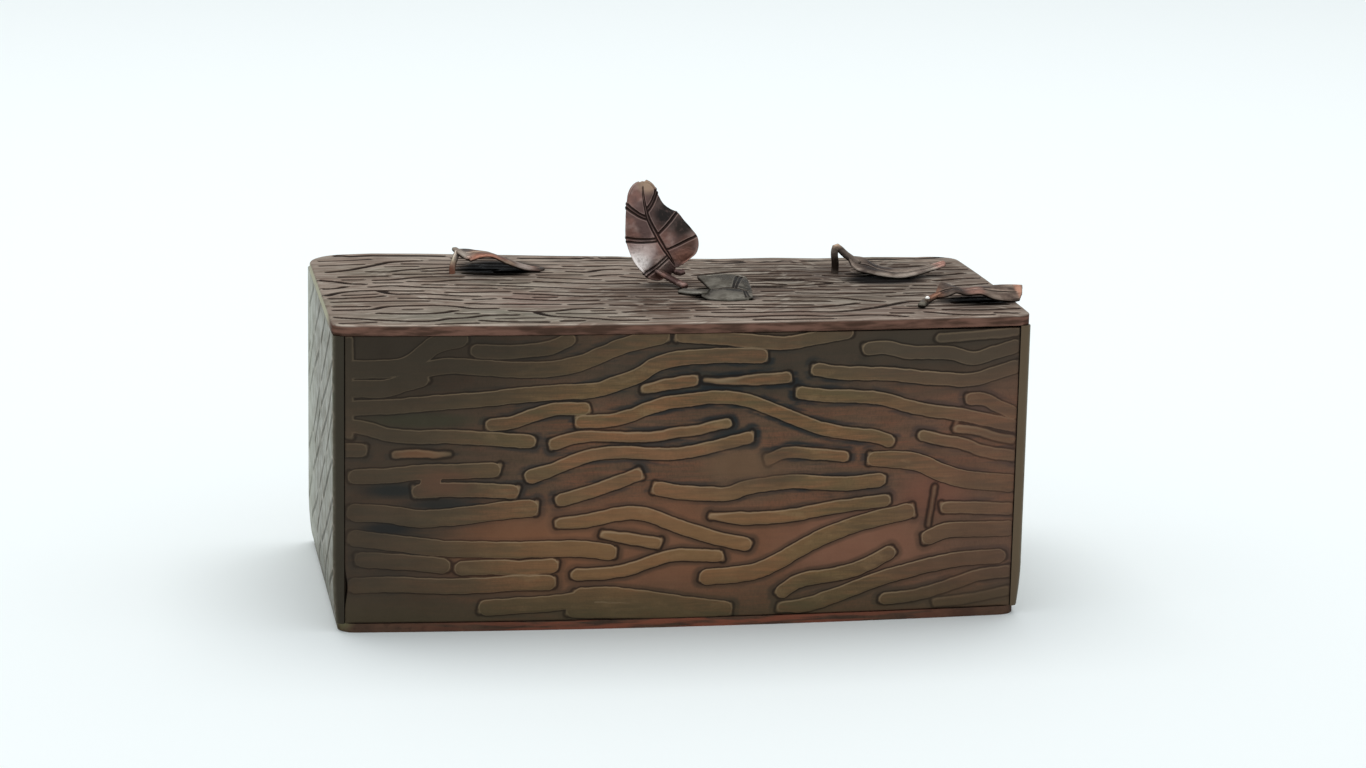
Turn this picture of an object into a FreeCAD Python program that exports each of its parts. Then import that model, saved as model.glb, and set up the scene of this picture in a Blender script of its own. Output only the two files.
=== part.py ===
"""Keepsake box of soldered copper plates with a loose lid that carries five folded copper leaves.

The box stands on its base plate. Two end walls run the full depth, the front and back walls
stand between them, and the front swells forward a little. The lid is one flat plate with four
strips under it that drop inside the walls. All lengths are in millimetres. X runs along the
box, Y from front to back and Z up, and the origin is under the middle of the base plate.
"""
import FreeCAD
import Part
import math
import os

Vector = FreeCAD.Vector

# Box
box_length = 101.6
box_depth = 50.8
body_height = 43.6
front_bow = 1.8
wall_thickness = 1.6
wall_corner_radius = 1.0
foot_curve_height = 7.0
foot_curve_inset = 0.8
base_thickness = 1.3
base_corner_radius = 2.6

# Lid
lid_thickness = 1.6
lid_front_corner_radius = 2.1
lid_back_left_radius = 4.2
lid_back_right_radius = 4.8
lid_arris_radius = 0.3
rim_height = 3.2
rim_thickness = 1.0
rim_clearance = 0.4

# Leaves: cut from thinner sheet, each with a folded rib and a stem soldered to the lid
leaf_thickness = 0.6
stem_thickness = 0.8
stem_width = 1.1

left_leaf_length = 14.0
left_leaf_width = 7.0
left_leaf_lift = 3.0
left_leaf_place_shares = (-0.290, 0.246)

upright_leaf_width = 11.2
upright_leaf_height = 15.2
upright_leaf_fold = 1.6
upright_leaf_place_shares = (0.009, 0.067)

centre_leaf_length = 7.6
centre_leaf_width = 11.0
centre_leaf_lift = 2.0
centre_leaf_place_shares = (0.047, -0.122)

back_right_leaf_length = 16.0
back_right_leaf_width = 8.0
back_right_leaf_lift = 3.0
back_right_leaf_place_shares = (0.292, 0.157)

front_right_leaf_length = 14.0
front_right_leaf_width = 6.0
front_right_leaf_lift = 2.0
front_right_leaf_place_shares = (0.382, -0.276)

# Worked out from the sizes above
half_length = box_length / 2
half_depth = box_depth / 2
inner_half_length = half_length - wall_thickness
inner_half_depth = half_depth - wall_thickness
wall_height = body_height - base_thickness
lid_bottom = body_height
lid_top = body_height + lid_thickness
cut_reach = box_length


# Shares along, across and up, of each leaf's own length, width and lift, from the base to the tip
LEFT_LEAF_SHARES = {
    "front": [(0.14, -0.50, 0.70), (0.25, -0.51, 0.87), (0.36, -0.50, 0.90),
              (0.56, -0.40, 0.50), (0.81, -0.17, 0.20), (0.98, 0.04, 0.16)],
    "rib": [(0.06, -0.07, 0.83), (0.21, -0.03, 0.95), (0.36, 0.00, 0.90),
            (0.58, 0.03, 0.58), (0.81, 0.07, 0.26), (0.99, 0.09, 0.18)],
    "back": [(0.01, 0.39, 0.98), (0.19, 0.50, 0.87), (0.36, 0.50, 0.73),
             (0.61, 0.44, 0.50), (0.83, 0.29, 0.24), (0.99, 0.14, 0.17)],
    "stem": [(-0.03, -0.31, 0.00), (0.03, -0.31, 0.76), (0.15, -0.18, 0.76)],
    "hem": [(0.02, 0.39, 0.90), (0.14, -0.48, 0.62)],
}
CENTRE_LEAF_SHARES = {
    "front": [(0.00, -0.21, 0.28), (0.16, -0.42, 0.22), (0.45, -0.48, 0.22),
              (0.79, -0.46, 0.22), (0.97, -0.40, 0.22)],
    "rib": [(0.01, 0.00, 0.40), (0.29, -0.04, 0.52), (0.61, -0.07, 0.57),
            (0.84, -0.15, 0.50), (1.00, -0.25, 0.36)],
    "back": [(0.11, 0.54, 0.80), (0.42, 0.53, 0.90), (0.74, 0.47, 0.98),
             (0.97, 0.36, 0.75), (1.00, 0.06, 0.45)],
    "stem": [(-0.11, 0.45, 0.12), (-0.07, 0.20, 0.12), (0.10, -0.02, 0.30)],
}
BACK_RIGHT_LEAF_SHARES = {
    "front": [(0.01, 0.10, 0.50), (0.14, -0.18, 0.32), (0.32, -0.38, 0.22),
              (0.52, -0.53, 0.16), (0.72, -0.43, 0.19), (0.98, -0.12, 0.43)],
    "rib": [(0.02, 0.25, 0.73), (0.17, 0.16, 0.45), (0.34, -0.03, 0.28),
            (0.54, -0.22, 0.18), (0.76, -0.21, 0.23), (0.99, -0.06, 0.47)],
    "back": [(0.06, 0.40, 0.93), (0.20, 0.50, 0.63), (0.39, 0.38, 0.42),
             (0.57, 0.11, 0.24), (0.78, 0.01, 0.28), (0.99, 0.00, 0.53)],
    "stem": [(-0.08, 0.27, 0.00), (-0.08, 0.31, 1.34), (0.10, 0.24, 0.58)],
}
FRONT_RIGHT_LEAF_SHARES = {
    "front": [(0.00, -0.17, 0.40), (0.10, -0.28, 0.62), (0.20, -0.33, 0.90), (0.31, -0.38, 0.74),
              (0.46, -0.42, 0.82), (0.60, -0.42, 0.42), (0.76, -0.37, 0.22), (0.90, -0.27, 0.21)],
    "rib": [(0.01, 0.00, 0.55), (0.11, 0.03, 0.76), (0.23, 0.03, 0.90), (0.34, 0.07, 0.72),
            (0.48, 0.07, 0.80), (0.64, 0.03, 0.65), (0.81, 0.00, 0.55), (0.96, 0.00, 0.55)],
    "back": [(0.01, 0.17, 0.62), (0.13, 0.33, 0.74), (0.24, 0.43, 0.74), (0.36, 0.52, 0.48),
             (0.51, 0.57, 0.57), (0.69, 0.50, 0.75), (0.86, 0.37, 0.82), (0.99, 0.25, 0.85)],
    "stem": [(-0.22, -0.83, 0.15), (-0.09, -0.25, 0.22), (0.06, -0.02, 0.50)],
}
# Shares of the width across, of the fold's depth back, and of the height up
UPRIGHT_LEAF_SHARES = {
    "left": [(0.17, 0.05, 0.13), (-0.06, 0.15, 0.02), (-0.29, 0.25, 0.10), (-0.45, 0.30, 0.30),
             (-0.50, 0.35, 0.57), (-0.46, 0.45, 0.80), (-0.31, 0.55, 0.99)],
    "rib": [(0.19, -0.10, 0.15), (0.11, -0.25, 0.24), (0.00, -0.35, 0.36), (-0.11, -0.35, 0.49),
            (-0.20, -0.25, 0.63), (-0.25, 0.00, 0.79), (-0.29, 0.35, 1.00)],
    "right": [(0.22, 0.05, 0.16), (0.38, 0.45, 0.23), (0.49, 0.70, 0.33), (0.46, 0.85, 0.45),
              (0.21, 0.75, 0.65), (0.00, 0.65, 0.78), (-0.22, 0.55, 1.00)],
    "stem": [(0.26, -2.40, 0.02), (-0.11, 0.15, 0.14)],
    "post": [(0.14, 0.15, 0.00), (0.14, 0.15, 0.22)],
}


def upright_prism(edges, bottom, height):
    """Stands a closed outline on the level called bottom."""
    face = Part.Face(Part.Wire(edges))
    face.translate(Vector(0, 0, bottom))
    return face.extrude(Vector(0, 0, height))


def bowed_block(end_inset, bottom, height):
    """A block with the plan of the box: square corners and a front that swells forward."""
    reach = half_length - end_inset
    front_left = Vector(-reach, -half_depth, 0)
    front_middle = Vector(0, -half_depth - front_bow, 0)
    front_right = Vector(reach, -half_depth, 0)
    back_right = Vector(reach, half_depth, 0)
    back_left = Vector(-reach, half_depth, 0)
    edges = [
        Part.Arc(front_left, front_middle, front_right).toShape(),
        Part.LineSegment(front_right, back_right).toShape(),
        Part.LineSegment(back_right, back_left).toShape(),
        Part.LineSegment(back_left, front_left).toShape(),
    ]
    return upright_prism(edges, bottom, height)


def corner_edge(block, to_right, to_back):
    """The upright edge of a block at one of its four corners."""
    side = 1 if to_right else -1
    depth_side = 1 if to_back else -1
    uprights = []
    for edge in block.Edges:
        ends = [vertex.Point for vertex in edge.Vertexes]
        if abs(ends[0].x - ends[1].x) + abs(ends[0].y - ends[1].y) < edge.Length / 2:
            uprights.append(edge)
    return max(uprights, key=lambda edge: side * edge.CenterOfMass.x + depth_side * edge.CenterOfMass.y)


def round_corners(block, front_radius, back_left_radius, back_right_radius):
    """Rounds the four upright corners of a block."""
    block = block.makeFillet(front_radius, [corner_edge(block, False, False)])
    block = block.makeFillet(front_radius, [corner_edge(block, True, False)])
    block = block.makeFillet(back_left_radius, [corner_edge(block, False, True)])
    return block.makeFillet(back_right_radius, [corner_edge(block, True, True)])


def base_plate():
    """Sheet that the walls stand on, with its corners rounded and its ends drawn in under them."""
    block = bowed_block(foot_curve_inset, 0, base_thickness)
    return round_corners(block, base_corner_radius, base_corner_radius, base_corner_radius)


def end_wall(side):
    """Full depth wall at one end: its outer face curves in at the foot, its outer corners are soft."""
    curve_radius = (foot_curve_height ** 2 + foot_curve_inset ** 2) / (2 * foot_curve_inset)
    half_angle = math.asin(foot_curve_height / curve_radius) / 2
    curve_top = base_thickness + foot_curve_height
    inner_foot = Vector(side * inner_half_length, -half_depth, base_thickness)
    outer_foot = Vector(side * (half_length - foot_curve_inset), -half_depth, base_thickness)
    curve_middle = Vector(side * (half_length - curve_radius * (1 - math.cos(half_angle))), -half_depth,
                          curve_top - curve_radius * math.sin(half_angle))
    curve_end = Vector(side * half_length, -half_depth, curve_top)
    outer_top = Vector(side * half_length, -half_depth, body_height)
    inner_top = Vector(side * inner_half_length, -half_depth, body_height)
    profile = Part.Wire([
        Part.LineSegment(inner_foot, outer_foot).toShape(),
        Part.Arc(outer_foot, curve_middle, curve_end).toShape(),
        Part.LineSegment(curve_end, outer_top).toShape(),
        Part.LineSegment(outer_top, inner_top).toShape(),
        Part.LineSegment(inner_top, inner_foot).toShape(),
    ])
    plate = Part.Face(profile).extrude(Vector(0, box_depth, 0))
    plan = Part.makeBox(box_length, box_depth, body_height, Vector(-half_length, -half_depth, 0))
    plan = round_corners(plan, wall_corner_radius, wall_corner_radius, wall_corner_radius)
    return plate.common(plan)


def front_wall():
    """Bowed plate between the end walls, of one thickness throughout."""
    bow_radius = (inner_half_length ** 2 + front_bow ** 2) / (2 * front_bow)
    centre = Vector(0, bow_radius - half_depth - front_bow, base_thickness)
    outer = Part.makeCylinder(bow_radius, wall_height, centre)
    inner = Part.makeCylinder(bow_radius - wall_thickness, wall_height, centre)
    strip = Part.makeBox(2 * inner_half_length, 2 * front_bow + wall_thickness, wall_height,
                         Vector(-inner_half_length, -half_depth - 2 * front_bow, base_thickness))
    return outer.common(strip).cut(inner)


def back_wall():
    """Flat plate between the end walls."""
    return Part.makeBox(2 * inner_half_length, wall_thickness, wall_height,
                        Vector(-inner_half_length, inner_half_depth, base_thickness))


def lid_plate():
    """Flat lid with the plan of the box, its corners rounded and its top arris softened."""
    block = bowed_block(0, lid_bottom, lid_thickness)
    block = round_corners(block, lid_front_corner_radius, lid_back_left_radius, lid_back_right_radius)
    top_edges = [edge for edge in block.Edges
                 if edge.BoundBox.ZMin > lid_top - lid_thickness / 2]
    return block.makeFillet(lid_arris_radius, top_edges)


def lid_rims():
    """Four strips under the lid that keep it in place inside the walls."""
    outer_x = inner_half_length - rim_clearance
    outer_y = inner_half_depth - rim_clearance
    bottom = lid_bottom - rim_height
    between = 2 * (outer_y - rim_thickness)
    return {
        "lid_rim_front": Part.makeBox(2 * outer_x, rim_thickness, rim_height,
                                      Vector(-outer_x, -outer_y, bottom)),
        "lid_rim_back": Part.makeBox(2 * outer_x, rim_thickness, rim_height,
                                     Vector(-outer_x, outer_y - rim_thickness, bottom)),
        "lid_rim_left": Part.makeBox(rim_thickness, between, rim_height,
                                     Vector(-outer_x, rim_thickness - outer_y, bottom)),
        "lid_rim_right": Part.makeBox(rim_thickness, between, rim_height,
                                      Vector(outer_x - rim_thickness, rim_thickness - outer_y, bottom)),
    }


def placed(shares, place_shares, scale):
    """Turns a leaf's shares into points over the lid, from its place and its own three sizes."""
    origin = Vector(place_shares[0] * box_length, place_shares[1] * box_depth, lid_top)
    return [origin + Vector(share[0] * scale[0], share[1] * scale[1], share[2] * scale[2])
            for share in shares]


def fair_line(points):
    """A smooth edge through a few points."""
    curve = Part.BSplineCurve()
    curve.interpolate(points)
    return curve.toShape()


def blade(lines, through):
    """Two halves of folded sheet that meet along the rib, given their thickness by one vector."""
    first_half = Part.makeRuledSurface(lines[0], lines[1]).extrude(through)
    second_half = Part.makeRuledSurface(lines[1], lines[2]).extrude(through)
    return first_half.fuse(second_half)


def strip(start, end, width):
    """A flat bar from one point to another, run on at both ends so that bars in a row join."""
    direction = end - start
    run_on = stem_thickness / 2
    bar = Part.makeBox(direction.Length + 2 * run_on, width, stem_thickness,
                       Vector(-run_on, -width / 2, -stem_thickness / 2))
    bar.Placement = FreeCAD.Placement(start, FreeCAD.Rotation(Vector(1, 0, 0), direction))
    return bar


def trimmed_to_lid(leaf):
    """Cuts a leaf flat where it meets the top of the lid."""
    above = Part.makeBox(2 * cut_reach, 2 * cut_reach, cut_reach, Vector(-cut_reach, -cut_reach, lid_top))
    return leaf.common(above).removeSplitter().Solids[0]


def lying_leaf(shares, place_shares, scale):
    """A leaf that lies along the lid on its tip and its stem."""
    lines = [fair_line(placed(shares[name], place_shares, scale)) for name in ("front", "rib", "back")]
    leaf = blade(lines, Vector(0, 0, -leaf_thickness))
    stem = placed(shares["stem"], place_shares, scale)
    bars = [strip(start, end, stem_width) for start, end in zip(stem, stem[1:])]
    if "hem" in shares:
        hem = placed(shares["hem"], place_shares, scale)
        bars.append(strip(hem[0], hem[1], stem_width))
    return trimmed_to_lid(leaf.fuse(bars))


def upright_leaf():
    """The leaf that stands up as the handle, on its lobe, its stem and a short post."""
    scale = (upright_leaf_width, upright_leaf_fold, upright_leaf_height)
    points = {name: placed(row, upright_leaf_place_shares, scale)
              for name, row in UPRIGHT_LEAF_SHARES.items()}
    lines = [fair_line(points[name]) for name in ("left", "rib", "right")]
    leaf = blade(lines, Vector(0, leaf_thickness, 0))
    stem = strip(points["stem"][0], points["stem"][1], stem_width)
    post = strip(points["post"][0], points["post"][1], stem_width)
    return trimmed_to_lid(leaf.fuse([stem, post]))


def leaves():
    """The five leaves by name."""
    return {
        "leaf_left": lying_leaf(LEFT_LEAF_SHARES, left_leaf_place_shares,
                                (left_leaf_length, left_leaf_width, left_leaf_lift)),
        "leaf_upright": upright_leaf(),
        "leaf_centre": lying_leaf(CENTRE_LEAF_SHARES, centre_leaf_place_shares,
                                  (centre_leaf_length, centre_leaf_width, centre_leaf_lift)),
        "leaf_back_right": lying_leaf(BACK_RIGHT_LEAF_SHARES, back_right_leaf_place_shares,
                                      (back_right_leaf_length, back_right_leaf_width,
                                       back_right_leaf_lift)),
        "leaf_front_right": lying_leaf(FRONT_RIGHT_LEAF_SHARES, front_right_leaf_place_shares,
                                       (front_right_leaf_length, front_right_leaf_width,
                                        front_right_leaf_lift)),
    }


nodes = {
    "base_plate": base_plate(),
    "left_wall": end_wall(-1),
    "right_wall": end_wall(1),
    "front_wall": front_wall(),
    "back_wall": back_wall(),
    "lid_plate": lid_plate(),
}
nodes.update(lid_rims())
nodes.update(leaves())

os.makedirs("parts", exist_ok=True)
for name, shape in nodes.items():
    shape.exportStep(f"parts/{name}.step")
    box = shape.BoundBox
    print(f"{name}: {len(shape.Solids)} solid, valid {shape.isValid()}, volume {shape.Volume:.1f}, "
          f"x {box.XMin:.2f} {box.XMax:.2f}, y {box.YMin:.2f} {box.YMax:.2f}, z {box.ZMin:.2f} {box.ZMax:.2f}")
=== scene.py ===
"""Looks of the copper keepsake box: etched plates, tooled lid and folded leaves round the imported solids.

Lengths in this script are millimetres until a mesh is made, and metres after that. X runs along
the box, Y from front to back and Z up.
"""

import math

import bmesh
import bpy
import numpy as np
from mathutils import Matrix, Vector


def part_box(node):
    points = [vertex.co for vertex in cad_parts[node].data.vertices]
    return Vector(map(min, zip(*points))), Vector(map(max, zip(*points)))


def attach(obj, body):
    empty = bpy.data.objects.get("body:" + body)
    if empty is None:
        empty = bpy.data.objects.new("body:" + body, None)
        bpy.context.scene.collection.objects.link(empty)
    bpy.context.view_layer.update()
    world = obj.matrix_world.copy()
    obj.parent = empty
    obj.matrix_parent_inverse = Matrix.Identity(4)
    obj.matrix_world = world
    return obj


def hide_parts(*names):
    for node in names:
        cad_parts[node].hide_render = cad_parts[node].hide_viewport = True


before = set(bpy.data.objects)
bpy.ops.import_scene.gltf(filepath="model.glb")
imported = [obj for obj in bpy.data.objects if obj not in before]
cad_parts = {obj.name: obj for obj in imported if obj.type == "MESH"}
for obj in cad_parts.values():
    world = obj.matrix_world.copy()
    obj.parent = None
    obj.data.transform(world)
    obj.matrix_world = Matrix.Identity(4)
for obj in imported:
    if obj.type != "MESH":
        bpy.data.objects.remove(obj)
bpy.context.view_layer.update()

MM = 0.001

# The plates, read from the solids
lid_low, lid_high = [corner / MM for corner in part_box("lid_plate")]
front_low, front_high = [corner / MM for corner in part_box("front_wall")]
right_low, right_high = [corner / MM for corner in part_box("right_wall")]
half_length = lid_high.x
half_depth = lid_high.y
front_bow = -lid_low.y - half_depth
wall_bottom = front_low.z
wall_top = front_high.z
inner_half_length = front_high.x
wall_thickness = right_high.x - right_low.x
lid_top = lid_high.z
lid_thickness = lid_top - lid_low.z

# Shapes that the boxes of the solids do not give
lid_front_radius = 2.1
lid_back_left_radius = 5.4
lid_back_right_radius = 4.8
lid_arris = 0.3
wall_corner_radius = 1.0
foot_curve_height = 7.0
foot_curve_inset = 0.5
wall_arris = 0.15

# Hand work: how far the lid's back edge lies below the plan along its length, and how far the front
# wall stands low and open
BACK_EDGE_SAG = [(-50.8, -0.2), (-41, -0.43), (-34, -0.32), (-20, 0.08), (-12, 0.33), (-3, 0.52), (5, 0.98),
                 (13, 1.15), (22, 1.06), (29, 1.26), (38, 1.16), (45, 1.28), (50.8, 1.12)]
front_gap = 0.28
seam_gap = 0.06
right_seam_gap = 0.012
seam_opening = 0.4
seam_opening_middle = 6.6
seam_opening_reach = 3.4

# Relief
stroke_height = 0.2
groove_depth = 0.28
end_groove_depth = 0.12
step_along = 0.3
step_across = 0.165
lid_step_along = 0.34
lid_step_across = 0.2
side_grid_step = 0.3
back_grid_step = 0.3
widest_stroke = 1.5
widest_groove = 0.55

# The lid's lines come out wider than their points say, most of all from here to the right
wider_left = 1.25
wider_right = 1.4
wider_right_from = 4

# Camera, from fitting the box's outline: photograph pixels where named so, angles in degrees, the
# rest in millimetres
PHOTO_WIDTH_PX = 1366
FOCAL_PX = 3843.9
SHIFT_RIGHT_PX = 26.07
SHIFT_UP_PX = 47.87
SENSOR_WIDTH = 36.0
CAMERA_AZIMUTH = -9.284
CAMERA_ELEVATION = 13.621
CAMERA_ROLL = 1.055
CAMERA_DISTANCE = 579.9
CAMERA_TARGET_HEIGHT = 22.58

# Reserved strokes of the front, in millimetres along the wall and up from the table: half width, then
# the points, left to right, some with a half width of their own
FRONT_STROKES = [
    (1.3, [(-47.5, 36.0), (-43, 36.1), (-40.5, 36.9), (-38.5, 37.4)]),
    (1.3, [(-47.5, 38.8), (-43, 38.9), (-40, 39.5), (-38, 41.0), (-36.4, 42.3), (-33, 43.2)]),
    (1.0, [(-30.3, 41.4), (-27, 41.2), (-23, 41.4), (-20, 41.8), (-17.4, 42.9)]),
    (1.15, [(-39, 38.4), (-35, 39.2), (-30, 39.0), (-24, 38.6), (-19, 38.8), (-15, 39.7), (-12, 41.0),
            (-9, 42.1), (-6, 42.8), (-4, 43.3)]),
    (1.1, [(-47.5, 33.2), (-42, 33.4), (-36, 33.9), (-30, 34.3), (-24, 34.9), (-18, 35.3), (-13, 35.6),
           (-10, 36.6), (-7, 37.7), (-5, 39.0), (-2, 39.9), (2, 40.2), (7, 40.3), (10.4, 40.2)]),
    (1.0, [(-1, 43.3), (3, 43.0), (7, 42.6), (11, 42.2), (14, 42.0), (18, 42.6), (23, 43.4)]),
    (1.0, [(-48.2, 30.6), (-46, 30.2), (-43.5, 29.4), (-40, 28.95), (-34, 28.9), (-28, 28.5),
           (-22.9, 28.1)]),
    (1.0, [(-49, 27.0), (-46.9, 27.0)]),
    (0.6, [(-41.8, 26.3), (-39, 26.5), (-36.5, 26.3, 0.5), (-34.2, 26.3, 0.3)]),
    (1.1, [(-47.5, 23.1), (-42, 23.3), (-38.5, 23.7), (-33, 23.8), (-28, 23.95)]),
    (1.05, [(-38.5, 20.9), (-35, 21.1), (-30, 21.0), (-25.3, 20.7)]),
    (1.3, [(-47.5, 17.8), (-43, 17.5), (-39, 16.9), (-35, 17.0), (-30, 17.5), (-26, 18.0), (-22.7, 18.2)]),
    (1.2, [(-47.5, 14.0), (-43, 13.4), (-39, 12.9), (-35, 12.4), (-30, 12.2), (-25, 12.0), (-20, 12.1),
           (-15, 12.0), (-11.2, 11.5)]),
    (1.15, [(-46.5, 10.8), (-42, 10.5), (-38, 10.2), (-35.2, 9.8)]),
    (1.1, [(-32.3, 9.4), (-28, 9.5), (-23, 9.4), (-19.5, 9.6)]),
    (1.15, [(-47.5, 7.0), (-42, 7.1), (-36, 6.8), (-30, 6.8), (-25, 7.1), (-19.9, 7.1)]),
    (1.2, [(-28.7, 3.5), (-24, 3.7), (-19, 4.0), (-14, 4.6)]),
    (1.15, [(-15, 5.1), (-11, 5.1), (-6, 4.5), (-1, 3.6), (3, 3.0), (6, 2.5)]),
    (1.2, [(-16, 2.9), (-8, 2.6), (-1, 2.2), (4, 2.0)]),
    (0.95, [(-28.1, 30.6), (-25.5, 30.9), (-22.5, 31.9), (-19, 32.8), (-15.1, 32.8)]),
    (0.75, [(-19.1, 27.7, 0.9), (-16, 28.6, 0.9), (-12, 28.7), (-8, 28.5), (-4.5, 28.6), (-1.5, 29.1),
            (1.5, 29.4), (4, 30.0), (5.7, 30.3)]),
    (0.95, [(-15.3, 30.9), (-12, 31.0), (-9, 31.5), (-6, 32.6), (-3, 33.5), (0, 33.8), (4, 34.2), (8, 33.8),
            (12, 32.4), (16, 30.7), (20, 29.2), (24, 28.4), (28, 27.8), (29.7, 27.2)]),
    (0.9, [(-22.3, 23.0, 1.1), (-19.5, 23.9), (-16, 25.3), (-13, 26.1), (-9, 26.3), (-5, 26.0), (-1, 26.0),
           (3, 26.7), (6, 27.4), (8.9, 28.1)]),
    (0.95, [(-18, 19.4), (-14, 20.5), (-10, 21.9), (-7.3, 22.9)]),
    (1.0, [(-18.2, 15.9, 0.8), (-14, 16.3), (-10, 17.1), (-7, 17.2), (-4.5, 16.6), (-2, 15.5), (1, 14.4),
           (5, 13.1), (8.8, 12.2)]),
    (0.85, [(-11.8, 14.1, 0.6), (-8, 13.4), (-4.3, 12.7)]),
    (0.9, [(-15.7, 8.2), (-12, 8.3), (-8, 8.9), (-4.5, 10.1), (-1.5, 10.8), (2, 10.7), (4.8, 10.5)]),
    (0.85, [(-6.1, 35.6, 0.7), (-3, 36.2), (0.6, 36.7)]),
    (0.9, [(2.4, 36.7, 0.3), (6, 36.5, 0.5), (10, 36.7, 0.8), (14.2, 36.9)]),
    (1.0, [(19.0, 38.0), (22, 37.5), (26, 37.3), (30, 37.1), (34, 36.6), (38, 36.2), (42, 36.0),
           (45.5, 36.9), (48.4, 37.7)]),
    (1.0, [(26.5, 41.0), (29, 41.1), (32, 40.4), (36, 40.2), (39, 40.0), (42, 39.2), (45, 39.9),
           (48.4, 40.8)]),
    (0.7, [(37, 42.3), (42, 42.6), (48.4, 43.0)]),
    (0.95, [(16.7, 34.6), (20, 34.15), (25, 33.9), (29, 33.4), (32.5, 32.3), (36, 31.5), (40, 30.9),
            (44, 30.0), (48.4, 28.9)]),
    (0.95, [(42.1, 33.1), (44, 33.0), (46, 32.0), (48.4, 30.8)]),
    (0.85, [(35.0, 27.8), (38, 27.0), (41, 26.4), (44, 25.2), (48.4, 24.4)]),
    (0.6, [(40.2, 28.7), (43, 28.3), (46, 27.3), (48.4, 26.8)]),
    (1.3, [(27.8, 24.5, 1.1), (31, 24.3), (34.5, 23.7), (38, 22.1), (41.5, 21.0), (45, 20.5), (48.4, 20.1)]),
    (0.85, [(12.3, 24.9), (14.5, 25.7), (18.5, 25.5), (23.1, 25.0)]),
    (1.05, [(-3.9, 20.8), (-1, 20.2), (3, 19.9), (6, 19.8), (9, 20.7), (12, 21.1), (16, 21.4), (20, 21.1),
            (24, 20.9), (28.5, 21.3)]),
    (0.95, [(3.9, 16.5, 0.5), (8, 16.1), (12, 16.1), (16, 16.4), (20, 17.1), (24, 17.6), (29.4, 18.2)]),
    (1.2, [(3.4, 7.4), (7, 7.6), (10.5, 8.1), (13.5, 9.3), (16.5, 11.0), (20, 12.8), (24, 14.3),
           (28, 15.4), (32.9, 16.4)]),
    (1.05, [(14.6, 4.9), (17, 6.4), (20, 6.9), (23.5, 7.4), (27, 8.5), (30.3, 10.2)]),
    (1.1, [(14.6, 2.5, 0.8), (18, 2.7), (21.5, 3.7), (25, 4.9), (29, 6.3), (33, 7.3), (37, 8.2), (41, 8.8),
           (47.1, 9.0)]),
    (0.9, [(30, 3.2), (35, 3.7), (40, 5.0), (44, 6.2), (48.4, 6.6)]),
    (0.7, [(38, 2.3), (43, 2.7), (48.4, 3.6)]),
    (1.15, [(36.4, 12.4), (38.5, 13.2), (43, 13.3), (48.4, 13.2)]),
    (0.9, [(38.9, 16.8), (43, 16.6), (48.4, 16.2)]),
    (0.13, [(37.0, 20.0), (36.6, 17.0), (36.2, 14.2)]),
    (0.13, [(40.6, 31.4), (40.1, 30.0), (39.6, 28.8)]),
    (0.7, [(-48.5, 29.4), (-48.5, 35), (-48.5, 43.0)]),
    (1.4, [(-37.0, 21.3), (-36.8, 23.0)]),
]

# Where hands and polishing wore the front's figure down: middle, reach, and the share lost
RUBBED_PLACES = [
    (-60, 20, 34, 60, 0.65),
    (-54, 11, 17, 20, 1.0),
    (46, 1, 18, 7, 0.9),
    (-32, 46, 34, 12, 0.6),
    (40, 46, 22, 8, 0.5),
    (-10, 0, 60, 8, 0.45),
    (58, 22, 19, 60, 0.75),
    (10, 24, 9, 4, 0.9),
]

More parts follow.
